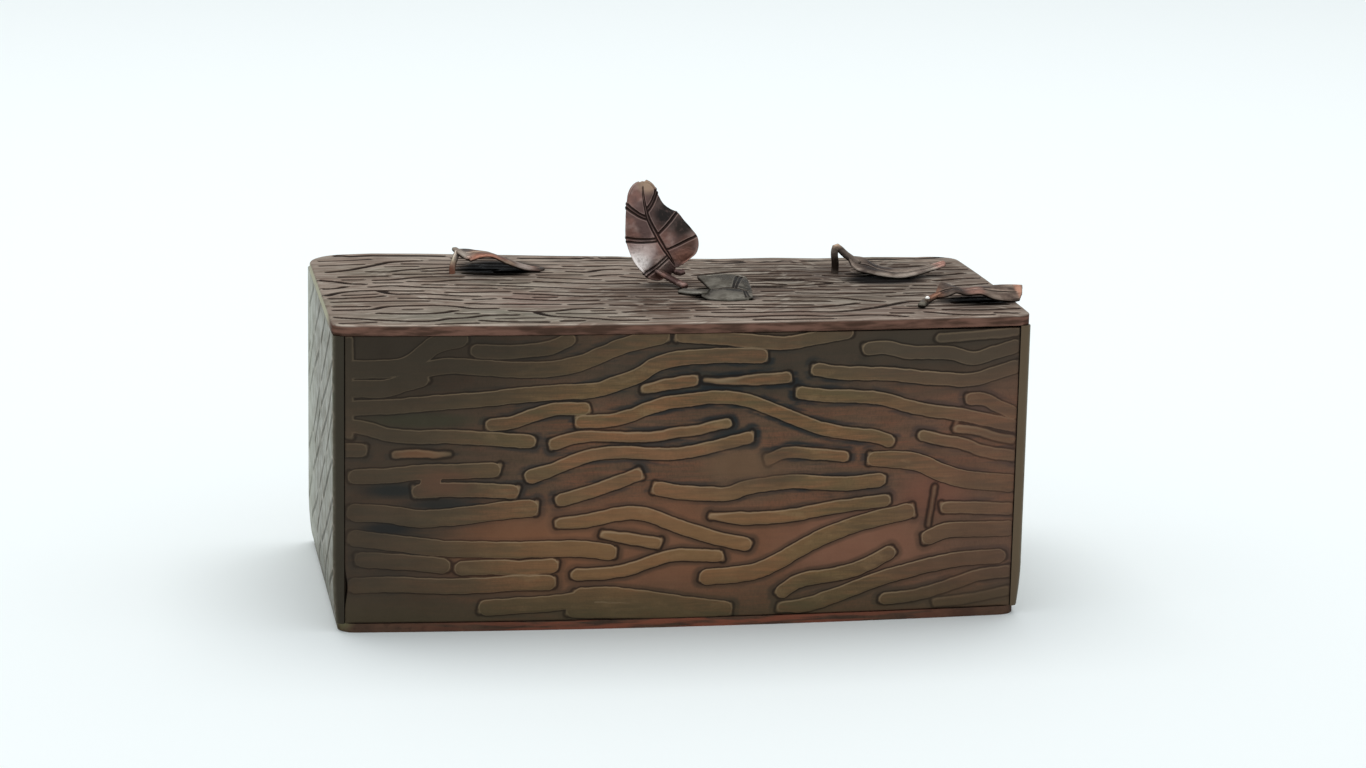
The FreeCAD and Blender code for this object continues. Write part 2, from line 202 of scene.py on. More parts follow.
# Grooves of the lid, in millimetres along the lid and from its middle to the back
LID_GROOVES = [
    (0.45, [(-46.5, 24.4), (-44, 24.0), (-40, 23.8), (-34, 23.9), (-30, 23.9)]),
    (0.45, [(-49, 21.0), (-45, 21.0), (-41.5, 21.3)]),
    (0.45, [(-48.5, 12.5), (-46, 13.5), (-43.5, 15), (-41, 17), (-39, 18.8), (-37, 19.5), (-34, 20.1)]),
    (0.4, [(-42.4, 12.2), (-39.5, 11.9), (-37.5, 12.9), (-35, 13.8), (-32, 14.7), (-29, 15.6), (-26, 15.9)]),
    (0.45, [(-47, 8.7), (-43, 8.7), (-40, 8.9)]),
    (0.4, [(-42, 5.9), (-39, 6.3), (-36.5, 7.5), (-33, 8.2), (-29, 8.0)]),
    (0.4, [(-37, 4.9), (-33.5, 4.6), (-30, 5.6), (-26, 6.0), (-22, 5.6)]),
    (0.45, [(-49.9, 6.5), (-48, 5.5), (-46, 3.8), (-44, 3.3)]),
    (0.4, [(-49.9, 0.3), (-48, 0.8), (-46.8, 1.8)]),
    (0.4, [(-43, 1.2), (-40, 1.9), (-37.5, 1.2), (-34, 0.3), (-30, -0.1), (-25, -0.6)]),
    (0.45, [(-49.9, -4.3), (-48.5, -2.8), (-46, -1.6), (-43.5, -1.3), (-40, -1.6), (-36, -2.0)]),
    (0.45, [(-41.8, -2.2), (-40.5, -3.8), (-36, -4.0), (-33.5, -4.8), (-31, -5.7), (-28, -6.1)]),
    (0.45, [(-49.5, -6.5), (-46, -6.2), (-43, -5.7), (-42, -5.3)]),
    (0.45, [(-39.3, -7.0), (-36, -7.3), (-33, -8.2), (-31, -8.8)]),
    (0.5, [(-49.5, -14.6), (-46, -14.5), (-44, -14.2), (-42.5, -13.0), (-40, -12.4), (-37.5, -12.3),
           (-34.5, -12.3), (-32, -13.2), (-30, -14.6), (-26.5, -15)]),
    (0.45, [(-43.5, -17.2), (-40.5, -17.8), (-37, -17.9), (-34.5, -17.5), (-32.5, -16.2)]),
    (0.3, [(-39.5, -14.9), (-37.3, -14.8)]),
    (0.55, [(-49.6, -19.6), (-47, -20.6), (-44, -21.7), (-40, -22.8), (-36.5, -22.9), (-34, -21.6),
            (-31, -21.0), (-28, -19.7), (-24, -19.7)]),
    (0.5, [(-29.3, -23.2), (-26, -24.2), (-20.3, -24.8)]),
    (0.4, [(-24.3, -16.8), (-21, -17.5), (-18, -17.3), (-15, -16.2), (-11, -15.9)]),
    (0.5, [(-20.8, -18.5), (-19, -20.8), (-16, -22.0), (-13, -23), (-10, -24.3), (-6, -24.6)]),
    (0.5, [(-24, -8.0), (-20, -9.2), (-16, -9.9), (-11, -10)]),
    (0.45, [(-22, -4.6), (-18, -5.5), (-14, -6.6), (-10, -7.5), (-6.5, -7.5)]),
    (0.4, [(-30, 2.2), (-26, 1.8), (-20, 0.6), (-16, -0.2), (-12, -1.5), (-8, -2.5), (-3, -2.7)]),
    (0.45, [(-18, 22.8), (-14, 23.2), (-10, 23.2), (-7, 24.0)]),
    (0.45, [(-12, 16.4), (-8, 16.6), (-4, 17.2), (-1, 17.0)]),
    (0.45, [(-12, 12.3), (-9.5, 11.8), (-7, 13.6), (-4, 14.2)]),
    (0.4, [(-17, 7.2), (-12, 6.3), (-8.5, 5.5)]),
    (0.45, [(-18, 4.3), (-12, 3.0), (-8, 2.2), (-3, 2.4)]),
    (0.4, [(-9, 8.5), (-7, 9.3), (-4.5, 9.8)]),
    (0.4, [(-4.3, 7.9), (-1, 6.3)]),
    (0.5, [(8, 21), (14, 20.8), (19, 21.2), (24, 22.3)]),
    (0.6, [(8, 16.0), (12, 16.5), (17, 16.5), (22, 16.2), (25, 16)]),
    (0.6, [(7, 9.5), (10, 11), (13, 12.4), (18, 12.6), (23, 11.7), (27, 11.4), (31, 12)]),
    (0.5, [(14, 6.0), (18, 5.6), (22, 5.2), (25, 5.0)]),
    (0.45, [(14, 2.0), (17, 1.6), (19, 0.9)]),
    (0.45, [(15, 4.1), (19, 4.3), (22.5, 3.7), (25.5, 2.4), (28, 1.8)]),
    (0.45, [(14.5, 0.0), (19, -0.5), (23, 0.0), (26, 1.0)]),
    (0.45, [(14, -1.2), (18, -1.9), (22, -3.5), (26, -4.3)]),
    (0.45, [(15, -4.7), (19, -4.9)]),
    (0.5, [(13, -8.2), (16, -8.8), (19, -9.5), (23, -10.0), (26, -11), (28, -12.5), (31, -14)]),
    (0.45, [(14, -12), (18, -12.4), (23, -13)]),
    (0.5, [(8, -16.2), (12, -16.8), (17, -17.3), (21, -17.2), (24, -16.3), (27, -14.8)]),
    (0.55, [(5, -20), (11, -20.4), (17, -20.2), (22, -20.8), (25, -20.2), (28, -18.9), (32, -16.2),
            (35, -14.3), (37, -14.2)]),
    (0.45, [(2, -22.5), (8, -23.5), (13, -23), (17, -23), (21, -23.7), (28, -23.5), (32, -24.7)]),
    (0.4, [(10, -25.6), (17, -25.5), (21, -25.6)]),
    (0.45, [(27, 8), (32, 7), (36, 7.6)]),
    (0.4, [(20, -6.3), (28, -7.3), (34, -7)]),
    (0.4, [(30, -4), (36, -4.5)]),
    (0.4, [(33, -10), (38, -9.3)]),
    (0.45, [(37, 15.0), (41, 15.3), (44, 16.5)]),
    (0.45, [(40, 20.6), (44, 20.2), (47.5, 20.4)]),
    (0.45, [(43, 7.0), (46, 7.4), (48.5, 8.5)]),
    (0.45, [(44, 12.5), (49.6, 12)]),
    (0.45, [(43, 2.2), (46.5, 3.5), (49.6, 4)]),
    (0.4, [(44, -2), (49.6, -1.0)]),
    (0.45, [(36, -22), (40, -24), (45, -24.6)]),
    (0.4, [(39, -20.5), (45, -21.0), (49.6, -20.4)]),
    (0.4, [(-4, -13.5), (0, -14.2), (5, -14.0)]),
    (0.4, [(-9, -13.8), (-6, -14.2)]),
    (0.4, [(-8, -18.8), (-3, -18.2), (1, -18.6)]),
    (0.4, [(-28, 10.5), (-24, 9.6), (-19, 9.4)]),
    (0.4, [(-30, -11.3), (-24, -12.2), (-17, -12.6)]),
]

# Leaves: sheet, fineness of their meshes, pressed veins and plain stems
LEAF_THICKNESS = 0.45
LEAF_GRID_STEP = 0.1
VEIN_HALF_WIDTH = 0.11
VEIN_SPACING = 0.42
VEIN_DEPTH = 0.14
STEM_WIDTH = 1.1
STEM_THICKNESS = 0.8

# The leaves. Place is a share of the lid's length and depth, size is length along, width across and
# lift up, and every point is a share of that size from the place. Veins run along the leaf from 0 to 1
# and across it from -1 to 1. A bar has its points, the way its flat side looks, width and thickness.
MIDRIB = [(0.04, 0.0), (0.5, 0.0), (0.93, 0.0)]
UPRIGHT_LEAF = {
    "place": (0.009, 0.067), "size": (11.2, 1.6, 15.2), "camber": 0.35, "seed": 11.0, "upward": (0, -1, 0),
    "front": [(0.10, -0.05, 0.055), (-0.07, -0.35, 0.02), (-0.19, -0.6, 0.045), (-0.295, -0.6, 0.115),
              (-0.38, -0.35, 0.19), (-0.445, 0.0, 0.288), (-0.491, 0.25, 0.40), (-0.503, 0.35, 0.59),
              (-0.484, 0.42, 0.77), (-0.44, 0.5, 0.89), (-0.39, 0.5, 0.95), (-0.325, 0.48, 0.986)],
    "rib": [(0.19, -0.10, 0.15), (0.115, -0.25, 0.235), (0.0, -0.35, 0.355), (-0.11, -0.35, 0.495),
            (-0.205, -0.25, 0.63), (-0.25, 0.0, 0.77), (-0.272, 0.3, 0.90), (-0.276, 0.46, 0.998)],
    "back": [(0.23, 0.05, 0.155), (0.375, 0.45, 0.22), (0.47, 0.6, 0.275), (0.506, 0.7, 0.35),
             (0.496, 0.85, 0.43), (0.41, 0.85, 0.52), (0.30, 0.8, 0.61), (0.205, 0.78, 0.69),
             (0.115, 0.7, 0.72), (0.02, 0.66, 0.77), (-0.065, 0.62, 0.87), (-0.12, 0.58, 0.94),
             (-0.17, 0.54, 0.973), (-0.228, 0.48, 0.989)],
    "veins": [
        [(0.03, 0.0), (0.5, 0.0), (0.94, 0.0)],
        [(0.15, -0.06), (0.18, -0.5), (0.215, -1.0)],
        [(0.37, -0.06), (0.45, -0.5), (0.53, -1.0)],
        [(0.62, -0.06), (0.71, -0.5), (0.79, -1.0)],
        [(0.70, 0.06), (0.79, 0.5), (0.875, 1.0)]],
    "single_veins": [
        [(0.23, 0.06), (0.29, 0.5), (0.345, 1.0)],
        [(0.42, 0.06), (0.52, 0.5), (0.61, 1.0)]],
    "bars": [
        ([(0.23, -3.60, 0.025), (0.06, -1.5, 0.07), (-0.11, 0.0, 0.125)], (0, 0, 1), STEM_WIDTH,
         STEM_THICKNESS),
        ([(0.15, -0.2, 0.115), (0.235, 0.05, 0.09), (0.30, 0.1, 0.105)], (0, 0, 1), STEM_WIDTH,
         STEM_THICKNESS)],
}
LEFT_LEAF = {
    "place": (-0.290, 0.246), "size": (14.0, 7.0, 3.0), "camber": 0.3, "seed": 12.0, "veins": [MIDRIB],
    "front": [(0.14, -0.50, 0.80), (0.25, -0.51, 1.01), (0.36, -0.50, 1.04),
              (0.56, -0.42, 0.62), (0.79, -0.24, 0.22), (0.96, -0.02, 0.08)],
    "rib": [(0.06, -0.07, 0.85), (0.21, -0.03, 0.98), (0.36, 0.00, 0.93),
            (0.58, 0.03, 0.54), (0.81, 0.07, 0.22), (0.99, 0.08, 0.12)],
    "back": [(0.01, 0.39, 0.93), (0.19, 0.50, 0.88), (0.36, 0.50, 0.70),
             (0.61, 0.44, 0.34), (0.83, 0.31, 0.14), (0.97, 0.18, 0.10)],
    "bars": [
        ([(-0.04, -0.31, -0.14), (-0.035, -0.25, 0.30), (0.0, -0.08, 0.64), (0.04, 0.14, 0.90)], (0, 1, 0),
         0.95, 0.5),
        ([(0.02, 0.36, 0.93), (0.07, -0.05, 0.90), (0.13, -0.46, 0.82)], (0, 0, 1), 0.9, 0.62)],
}
CENTRE_LEAF = {
    "place": (0.047, -0.122), "size": (7.6, 11.0, 2.0), "camber": 0.25, "seed": 13.0,
    "veins": [MIDRIB, [(0.55, 0.06), (0.62, 0.95)], [(0.8, -0.06), (0.9, -0.95)]],
    "front": [(0.00, -0.27, 0.20), (0.14, -0.46, 0.17), (0.42, -0.55, 0.17),
              (0.75, -0.52, 0.18), (0.97, -0.42, 0.20)],
    "rib": [(0.25, -0.03, 0.33), (0.42, -0.05, 0.46), (0.61, -0.08, 0.53),
            (0.84, -0.15, 0.47), (1.00, -0.25, 0.36)],
    "back": [(0.11, 0.54, 0.80), (0.42, 0.53, 0.90), (0.74, 0.50, 0.96),
             (1.015, 0.45, 0.86), (1.06, 0.15, 0.50)],
    "bars": [([(-0.30, 0.06, 0.14), (-0.10, -0.08, 0.17), (0.16, -0.16, 0.26)], (0, 0, 1), 2.2, 0.7)],
}
BACK_RIGHT_LEAF = {
    "place": (0.292, 0.157), "size": (16.0, 8.0, 3.0), "camber": 0.3, "seed": 14.0, "veins": [MIDRIB],
    "front": [(0.08, 0.12, 0.63), (0.145, -0.12, 0.36), (0.23, -0.3, 0.29), (0.37, -0.45, 0.17),
              (0.50, -0.53, 0.15), (0.68, -0.43, 0.27), (0.975, -0.16, 0.63)],
    "rib": [(0.08, 0.21, 0.75), (0.155, 0.14, 0.56), (0.24, 0.08, 0.48), (0.37, -0.10, 0.27),
            (0.51, -0.22, 0.18), (0.71, -0.20, 0.31), (0.985, -0.06, 0.66)],
    "back": [(0.085, 0.30, 0.84), (0.17, 0.42, 0.79), (0.25, 0.46, 0.70), (0.33, 0.36, 0.42),
             (0.48, 0.18, 0.28), (0.76, 0.03, 0.38), (0.98, 0.03, 0.68)],
    "bars": [([(-0.051, 0.3, -0.16), (-0.05, 0.3, 0.50), (-0.058, 0.3, 1.12), (-0.045, 0.3, 1.35),
               (-0.008, 0.3, 1.22), (0.045, 0.3, 0.96), (0.115, 0.28, 0.69), (0.175, 0.2, 0.46)], (0, 1, 0),
              STEM_WIDTH, STEM_THICKNESS)],
}
FRONT_RIGHT_LEAF = {
    "place": (0.382, -0.276), "size": (14.0, 6.0, 2.0), "camber": 0.3, "seed": 15.0, "veins": [MIDRIB],
    "front": [(0.00, -0.17, 0.40), (0.10, -0.28, 0.62), (0.20, -0.33, 0.90), (0.31, -0.38, 0.74),
              (0.46, -0.42, 0.82), (0.60, -0.42, 0.42), (0.76, -0.37, 0.22), (0.90, -0.27, 0.21)],
    "rib": [(0.01, 0.00, 0.55), (0.11, 0.03, 0.76), (0.23, 0.03, 0.90), (0.34, 0.07, 0.72),
            (0.48, 0.07, 0.80), (0.64, 0.03, 0.65), (0.81, 0.00, 0.55), (0.95, 0.00, 0.55)],
    "back": [(0.06, 0.28, 0.86), (0.11, 0.46, 1.10), (0.20, 0.52, 0.93), (0.31, 0.54, 0.66),
             (0.50, 0.57, 0.64), (0.69, 0.50, 0.82), (0.86, 0.37, 0.92), (0.975, 0.25, 0.94)],
    "bars": [([(-0.22, -0.83, 0.15), (-0.09, -0.25, 0.22), (0.06, -0.02, 0.50)], (0, 0, 1), STEM_WIDTH,
              STEM_THICKNESS)],
}

# A drop of solder left on the stem of the front right leaf: its place in that leaf's shares, and radii
SOLDER_BEAD = (-0.125, -0.5, 0.46)
SOLDER_BEAD_RADII = (0.4, 0.36, 0.34)


def linear(colour):
    """A colour written as sRGB hex, turned to linear light."""
    parts = [int(colour[k:k + 2], 16) / 255 for k in (1, 3, 5)]
    return tuple(c / 12.92 if c <= 0.04045 else ((c + 0.055) / 1.055) ** 2.4 for c in parts) + (1.0,)


def feed(tree, node, inputs):
    """Sets or links a node's inputs, named or numbered. A node as a value means its first output."""
    for key, value in inputs.items():
        if isinstance(value, bpy.types.Node):
            value = value.outputs[0]
        if isinstance(value, bpy.types.NodeSocket):
            tree.links.new(value, node.inputs[key])
        else:
            node.inputs[key].default_value = value


def add(tree, kind, inputs=None, **settings):
    """Adds a node with its settings and its inputs."""
    node = tree.nodes.new(kind)
    for name, value in settings.items():
        setattr(node, name, value)
    feed(tree, node, inputs or {})
    return node


def times(tree, *shares):
    """Shares or lengths multiplied with each other."""
    product = shares[0]
    for share in shares[1:]:
        product = add(tree, "ShaderNodeMath", {0: product, 1: share}, operation="MULTIPLY")
    return product


def shown(name, data):
    """A new object in the scene."""
    thing = bpy.data.objects.new(name, data)
    bpy.context.scene.collection.objects.link(thing)
    return thing


# What every vertex of a sheet carries for the figure's nodes
CARRIED = {"chart": "FLOAT_VECTOR", "out": "FLOAT_VECTOR", "freedom": "FLOAT"}


def figure_tree():
    """Geometry nodes that lay a drawn figure into a sheet.

    Every vertex of the sheet knows its place on a flat chart, the way out of the sheet, and how
    freely it may move. The strokes lie on the same chart. Each is lifted off it by an amount that
    makes wide and narrow strokes meet without a step, so that one distance says how far inside
    or outside of a stroke a vertex is.
    """
    tree = bpy.data.node_groups.new("drawn_figure", "GeometryNodeTree")
    sockets = {}
    for name, kind, default in (
            ("Sheet", "NodeSocketGeometry", None), ("Figure", "NodeSocketObject", None),
            ("Height", "NodeSocketFloat", stroke_height * MM), ("Slope Width", "NodeSocketFloat", 0.22 * MM),
            ("Widest", "NodeSocketFloat", widest_stroke * MM), ("Spacing", "NodeSocketFloat", 0.4 * MM),
            ("Unsteadiness", "NodeSocketFloat", 0.2 * MM), ("Unsteady Over", "NodeSocketFloat", 1.6 * MM),
            ("Raggedness", "NodeSocketFloat", 4.0),
            ("Dent Depth", "NodeSocketFloat", 0.03 * MM), ("Dent Size", "NodeSocketFloat", 4 * MM),
            ("Seed", "NodeSocketFloat", 0.0), ("Finish", "NodeSocketMaterial", None)):
        socket = tree.interface.new_socket(name=name, in_out="INPUT", socket_type=kind)
        if default is not None:
            socket.default_value = default
        sockets[name] = socket.identifier
    tree.interface.new_socket(name="Sheet", in_out="OUTPUT", socket_type="NodeSocketGeometry")
    given = add(tree, "NodeGroupInput").outputs

    # The strokes as lines, the narrow ones lifted off the chart
    drawn = add(tree, "GeometryNodeObjectInfo", {"Object": given["Figure"]}).outputs["Geometry"]
    points = add(tree, "GeometryNodeResampleCurve", {"Curve": drawn, "Length": given["Spacing"]},
                 mode="LENGTH")
    radius = add(tree, "GeometryNodeInputRadius")
    radius_squared = add(tree, "ShaderNodeMath", {0: radius, 1: 2.0}, operation="POWER")
    widest_squared = add(tree, "ShaderNodeMath", {0: given["Widest"], 1: 2.0}, operation="POWER")
    spare = add(tree, "ShaderNodeMath", {0: widest_squared, 1: radius_squared}, operation="SUBTRACT")
    above_zero = add(tree, "ShaderNodeMath", {0: spare, 1: 0.0}, operation="MAXIMUM")
    lift = add(tree, "ShaderNodeMath", {0: above_zero}, operation="SQRT")
    upward = add(tree, "ShaderNodeCombineXYZ", {"Z": lift})
    lifted = add(tree, "GeometryNodeSetPosition", {"Geometry": points, "Offset": upward})
    lines = add(tree, "GeometryNodeCurveToMesh", {"Curve": lifted})

    # Where each vertex of the sheet is on the chart, with an unsteady hand
    chart, out, freedom = [add(tree, "GeometryNodeInputNamedAttribute", {"Name": name}, data_type=data_type)
                           for name, data_type in CARRIED.items()]
    per_wander = add(tree, "ShaderNodeMath", {0: 1.0, 1: given["Unsteady Over"]}, operation="DIVIDE")
    wander = add(tree, "ShaderNodeTexNoise",
                 {"Vector": chart, "W": given["Seed"], "Scale": per_wander, "Detail": given["Raggedness"]},
                 noise_dimensions="4D").outputs["Color"]
    centred = add(tree, "ShaderNodeVectorMath", {0: wander, 1: (0.5, 0.5, 0.5)}, operation="SUBTRACT")
    flat = add(tree, "ShaderNodeVectorMath", {0: centred, 1: (2.0, 2.0, 0.0)}, operation="MULTIPLY")
    shift = add(tree, "ShaderNodeVectorMath", {0: flat, "Scale": given["Unsteadiness"]}, operation="SCALE")
    place = add(tree, "ShaderNodeVectorMath", {0: chart, 1: shift}, operation="ADD")

    # How far inside a stroke that is: positive inside, zero on its edge
    reach = add(tree, "GeometryNodeProximity", {0: lines, "Source Position": place},
                target_element="EDGES").outputs["Distance"]
    reach_squared = add(tree, "ShaderNodeMath", {0: reach, 1: 2.0}, operation="POWER")
    inside_squared = add(tree, "ShaderNodeMath", {0: widest_squared, 1: reach_squared}, operation="SUBTRACT")
    twice_widest = times(tree, given["Widest"], 2.0)
    inside = add(tree, "ShaderNodeMath", {0: inside_squared, 1: twice_widest}, operation="DIVIDE")

    # The relief, with shallow dents all over
    half_slope = times(tree, given["Slope Width"], 0.5)
    level = add(tree, "ShaderNodeMapRange",
                {"Value": inside, "From Min": times(tree, half_slope, -1.0), "From Max": half_slope},
                interpolation_type="SMOOTHSTEP")
    rise = times(tree, level, given["Height"])
    per_dent = add(tree, "ShaderNodeMath", {0: 1.0, 1: given["Dent Size"]}, operation="DIVIDE")
    dents = add(tree, "ShaderNodeTexNoise",
                {"Vector": chart, "W": given["Seed"], "Scale": per_dent, "Detail": 3.0},
                noise_dimensions="4D")
    dent = times(tree, dents, given["Dent Depth"])
    total = add(tree, "ShaderNodeMath", {0: rise, 1: dent}, operation="SUBTRACT")
    allowed = times(tree, total, freedom)
    offset = add(tree, "ShaderNodeVectorMath", {0: out, "Scale": allowed}, operation="SCALE")
    moved = add(tree, "GeometryNodeSetPosition", {"Geometry": given["Sheet"], "Offset": offset})
    inside_in_mm = times(tree, inside, 1 / MM)
    stored = add(tree, "GeometryNodeStoreNamedAttribute",
                 {"Geometry": moved, "Name": "inside", "Value": inside_in_mm},
                 data_type="FLOAT", domain="POINT")
    real = add(tree, "GeometryNodeRealizeInstances", {"Geometry": stored})
    finished = add(tree, "GeometryNodeSetMaterial", {"Geometry": real, "Material": given["Finish"]})
    add(tree, "NodeGroupOutput", {"Sheet": finished})
    return tree, sockets


figure_nodes, figure_sockets = figure_tree()


def drawn_strokes(name, strokes):
    """Strokes as one curve object on the chart. The radius at each point is half the width there."""
    data = bpy.data.curves.new(name, "CURVE")
    data.dimensions = "3D"
    for half_width, places in strokes:
        line = data.splines.new("BEZIER")
        line.bezier_points.add(len(places) - 1)
        for knot, place in zip(line.bezier_points, places):
            knot.co = (place[0] * MM, place[1] * MM, 0)
            knot.radius = (place[2] if len(place) > 2 else half_width) * MM
        for knot in line.bezier_points:
            knot.handle_left_type = "AUTO"
            knot.handle_right_type = "AUTO"
    return shown(name, data)


def squared(strokes, seed):
    """Adds a short cross bar to most stroke ends, so that they end flat as a pen does, some askew."""
    random = np.random.default_rng(seed)
    bar_radius = 0.3
    bars = []
    for half_width, places in strokes:
        for end, before in ((places[0], places[1]), (places[-1], places[-2])):
            radius = end[2] if len(end) > 2 else half_width
            flatness, skew = random.uniform(0.3, 1.0), random.uniform(-0.35, 0.35)
            if radius < 1.5 * bar_radius:
                continue
            angle = math.atan2(end[1] - before[1], end[0] - before[0])
            out = radius - bar_radius
            middle = (end[0] + out * math.cos(angle), end[1] + out * math.sin(angle))
            reach = (radius - bar_radius) * flatness
            side = angle + math.pi / 2 + skew
            step = (reach * math.cos(side), reach * math.sin(side))
            bars.append((bar_radius, [(middle[0] - step[0], middle[1] - step[1]),
                                      (middle[0] + step[0], middle[1] + step[1])]))
    return strokes + bars


def filled(drawn, low, high, half_width, spacing, clear, slope, longest, seed):
    """More lines of the same hand in what the drawn ones leave free, in wavy rows that lean by a slope."""
    random = np.random.default_rng(seed)
    far_away = np.full((1, 2), 1e3)
    taken = np.concatenate([far_away] + [fair([p[:2] for p in places], np.linspace(0, 1, 24))
                                         for _, places in drawn])
    added = []
    step, shortest = 0.9, 3.0
    climb = abs(slope) * (high[0] - low[0])
    for row in np.arange(low[1] - climb, high[1] + climb, spacing):
        row += random.uniform(-0.25, 0.25) * spacing
        run, limit, rest = [], random.uniform(0.3, 1) * longest, 0
        for x in np.arange(low[0], high[0], step):
            long_wave, short_wave = 0.8 * math.sin(x / 8.5 + row * 0.35), 0.2 * math.sin(x / 3.4 + row * 1.3)
            y = row + slope * (x - low[0]) + long_wave + short_wave
            near = np.hypot(taken[:, 0] - x, taken[:, 1] - y).min()
            free = near > clear and low[1] < y < high[1] and rest <= 0
            rest -= step
            if free:
                run.append((x, y))
            if run and (not free or len(run) * step > limit or x + step >= high[0]):
                if len(run) * step > shortest:
                    added.append((half_width * random.uniform(0.75, 1.2), run))
                    taken = np.concatenate([taken, run])
                run, limit, rest = [], random.uniform(0.3, 1) * longest, random.uniform(0.8, 3.0)
    return drawn + added


def border(columns, rows):
    """Places round the edge of a grid, in order."""
    lower = [(i, 0) for i in range(columns)]
    right = [(columns - 1, j) for j in range(1, rows)]
    upper = [(i, rows - 1) for i in range(columns - 2, -1, -1)]
    left = [(0, j) for j in range(rows - 2, 0, -1)]
    return lower + right + upper + left


def round_edge(x, y, z):
    """The points round the edge of a grid, given by fields or by one number for all of them."""
    x, y, z = np.broadcast_arrays(x, y, z)
    return np.array([(x[place], y[place], z[place]) for place in border(*x.shape)])


def charted(mesh, charts, outward, freedom):
    """Gives a mesh's vertices what the figure's nodes read."""
    flat = np.concatenate([charts * MM, np.zeros((len(charts), 1))], 1)
    for (name, data_type), values in zip(CARRIED.items(), (flat, outward, freedom)):
        attribute = mesh.attributes.new(name, data_type, "POINT")
        attribute.data.foreach_set("value" if data_type == "FLOAT" else "vector", values.ravel())


def plate(name, grid, charts, outward, freedom, rings, rounded_rings, strokes, finish, **values):
    """A closed plate with a figure: a fine grid on its outer face, rings of points round its edge, a
    plain back.

    The first rounded_rings bands of faces round the edge are shaded smooth with the outer face.
    """
    columns, rows = grid.shape[:2]
    around = border(columns, rows)
    count = len(around)
    points = [grid.reshape(-1, 3)] + [np.asarray(ring, float) for ring in rings]
    vertices = np.concatenate(points) * MM
    index = np.arange(columns * rows).reshape(columns, rows)
    lower_left, lower_right = index[:-1, :-1], index[1:, :-1]
    upper_left, upper_right = index[:-1, 1:], index[1:, 1:]
    faces = np.stack([lower_left, lower_right, upper_right, upper_left], -1).reshape(-1, 4).tolist()
    smooth = [True] * len(faces)
    previous = [int(index[place]) for place in around]
    start = columns * rows
    for k in range(len(rings)):
        current = list(range(start + k * count, start + (k + 1) * count))
        for here in range(count):
            after = (here + 1) % count
            faces.append([previous[after], previous[here], current[here], current[after]])
            smooth.append(k < rounded_rings)
        previous = current
    upper_start = columns - 1 + rows - 1
    for i in range(columns - 1):
        face = [previous[i], previous[i + 1], previous[upper_start + columns - 2 - i],
                previous[upper_start + columns - 1 - i]]
        if i == 0:
            face += previous[upper_start + columns:]
        if i == columns - 2:
            face = face[:2] + previous[columns:upper_start] + face[2:]
        faces.append(face)
        smooth.append(False)
    mesh = bpy.data.meshes.new(name)
    mesh.from_pydata(vertices.tolist(), [], faces)
    mesh.polygons.foreach_set("use_smooth", smooth)
    ring_charts = [charts[place] for place in around] * len(rings)
    ring_out = [outward[place] for place in around] * len(rings)
    charted(mesh, np.concatenate([charts.reshape(-1, 2), np.array(ring_charts).reshape(-1, 2)]),
            np.concatenate([outward.reshape(-1, 3), np.array(ring_out).reshape(-1, 3)]),
            np.concatenate([freedom.reshape(-1), np.zeros(count * len(rings))]))
    return with_figure(name, mesh, strokes, finish, **values)


def with_figure(name, mesh, strokes, finish, solidify=0.0, **values):
    """Puts a mesh through the figure nodes and gives back one plain mesh object."""
    sheet = shown(name, mesh)
    mesh.materials.append(finish)
    lines = drawn_strokes(name + "_figure", strokes)
    modifier = sheet.modifiers.new("figure", "NODES")
    modifier.node_group = figure_nodes
    modifier[figure_sockets["Figure"]] = lines
    modifier[figure_sockets["Finish"]] = finish
    for label, value in values.items():
        modifier[figure_sockets[label.replace("_", " ").title()]] = value
    if solidify:
        thicken = sheet.modifiers.new("thickness", "SOLIDIFY")
        thicken.thickness = solidify * MM
        thicken.offset = -1
    depsgraph = bpy.context.evaluated_depsgraph_get()
    finished = bpy.data.meshes.new_from_object(sheet.evaluated_get(depsgraph))
    sheet.modifiers.clear()
    sheet.data = finished
    finished.name = name
    finished.materials.clear()
    finished.materials.append(finish)
    bpy.data.objects.remove(lines)
    face_outwards(finished)
    return sheet


def face_outwards(mesh):
    """Turns every face of a closed mesh outwards."""
    shape = bmesh.new()
    shape.from_mesh(mesh)
    bmesh.ops.recalc_face_normals(shape, faces=shape.faces)
    shape.to_mesh(mesh)
    shape.free()


def even(low, high, step):
    """Places from low to high, a step or a little less apart."""
    return np.linspace(low, high, max(2, math.ceil((high - low) / step) + 1))


def softened(low, high, step, radius, turns=6):
    """Places across a face whose two ends are rounded, and how far each lies below the face."""
    angles = np.linspace(0, math.pi / 2, turns + 1)
    inward = radius * (1 - np.cos(angles))
    below = radius * (1 - np.sin(angles))
    middle = even(low + radius, high - radius, step)[1:-1]
    places = np.concatenate([low + inward, middle, (high - inward)[::-1]])
    depths = np.concatenate([below, np.zeros(len(middle)), below[::-1]])
    return places, depths


def faded(places, low, high, width):
    """One inside a span and zero at its two ends, with a soft change over a width."""
    edge = np.minimum(places - low, high - places) / width
    share = np.clip(edge, 0, 1)
    return share * share * (3 - 2 * share)


def sagged(points):
    """Lets the lid and what stands with it sag towards its uneven back edge."""
    points = np.array(points, float)
    places, depths = zip(*BACK_EDGE_SAG)
    sag = np.interp(points[..., 0], places, depths)
    back = np.clip(points[..., 1] / (2 * half_depth) + 0.5, 0, 1)
    height = np.clip((points[..., 2] - wall_bottom) / (wall_top - wall_bottom), 0, 1)
    points[..., 2] -= sag * back * back * height
    return points


def front_y(x, reach):
    """Where a face stands that bows to the front between two ends at a reach."""
    radius = (reach ** 2 + front_bow ** 2) / (2 * front_bow)
    return radius - half_depth - front_bow - np.sqrt(radius ** 2 - np.asarray(x, float) ** 2)


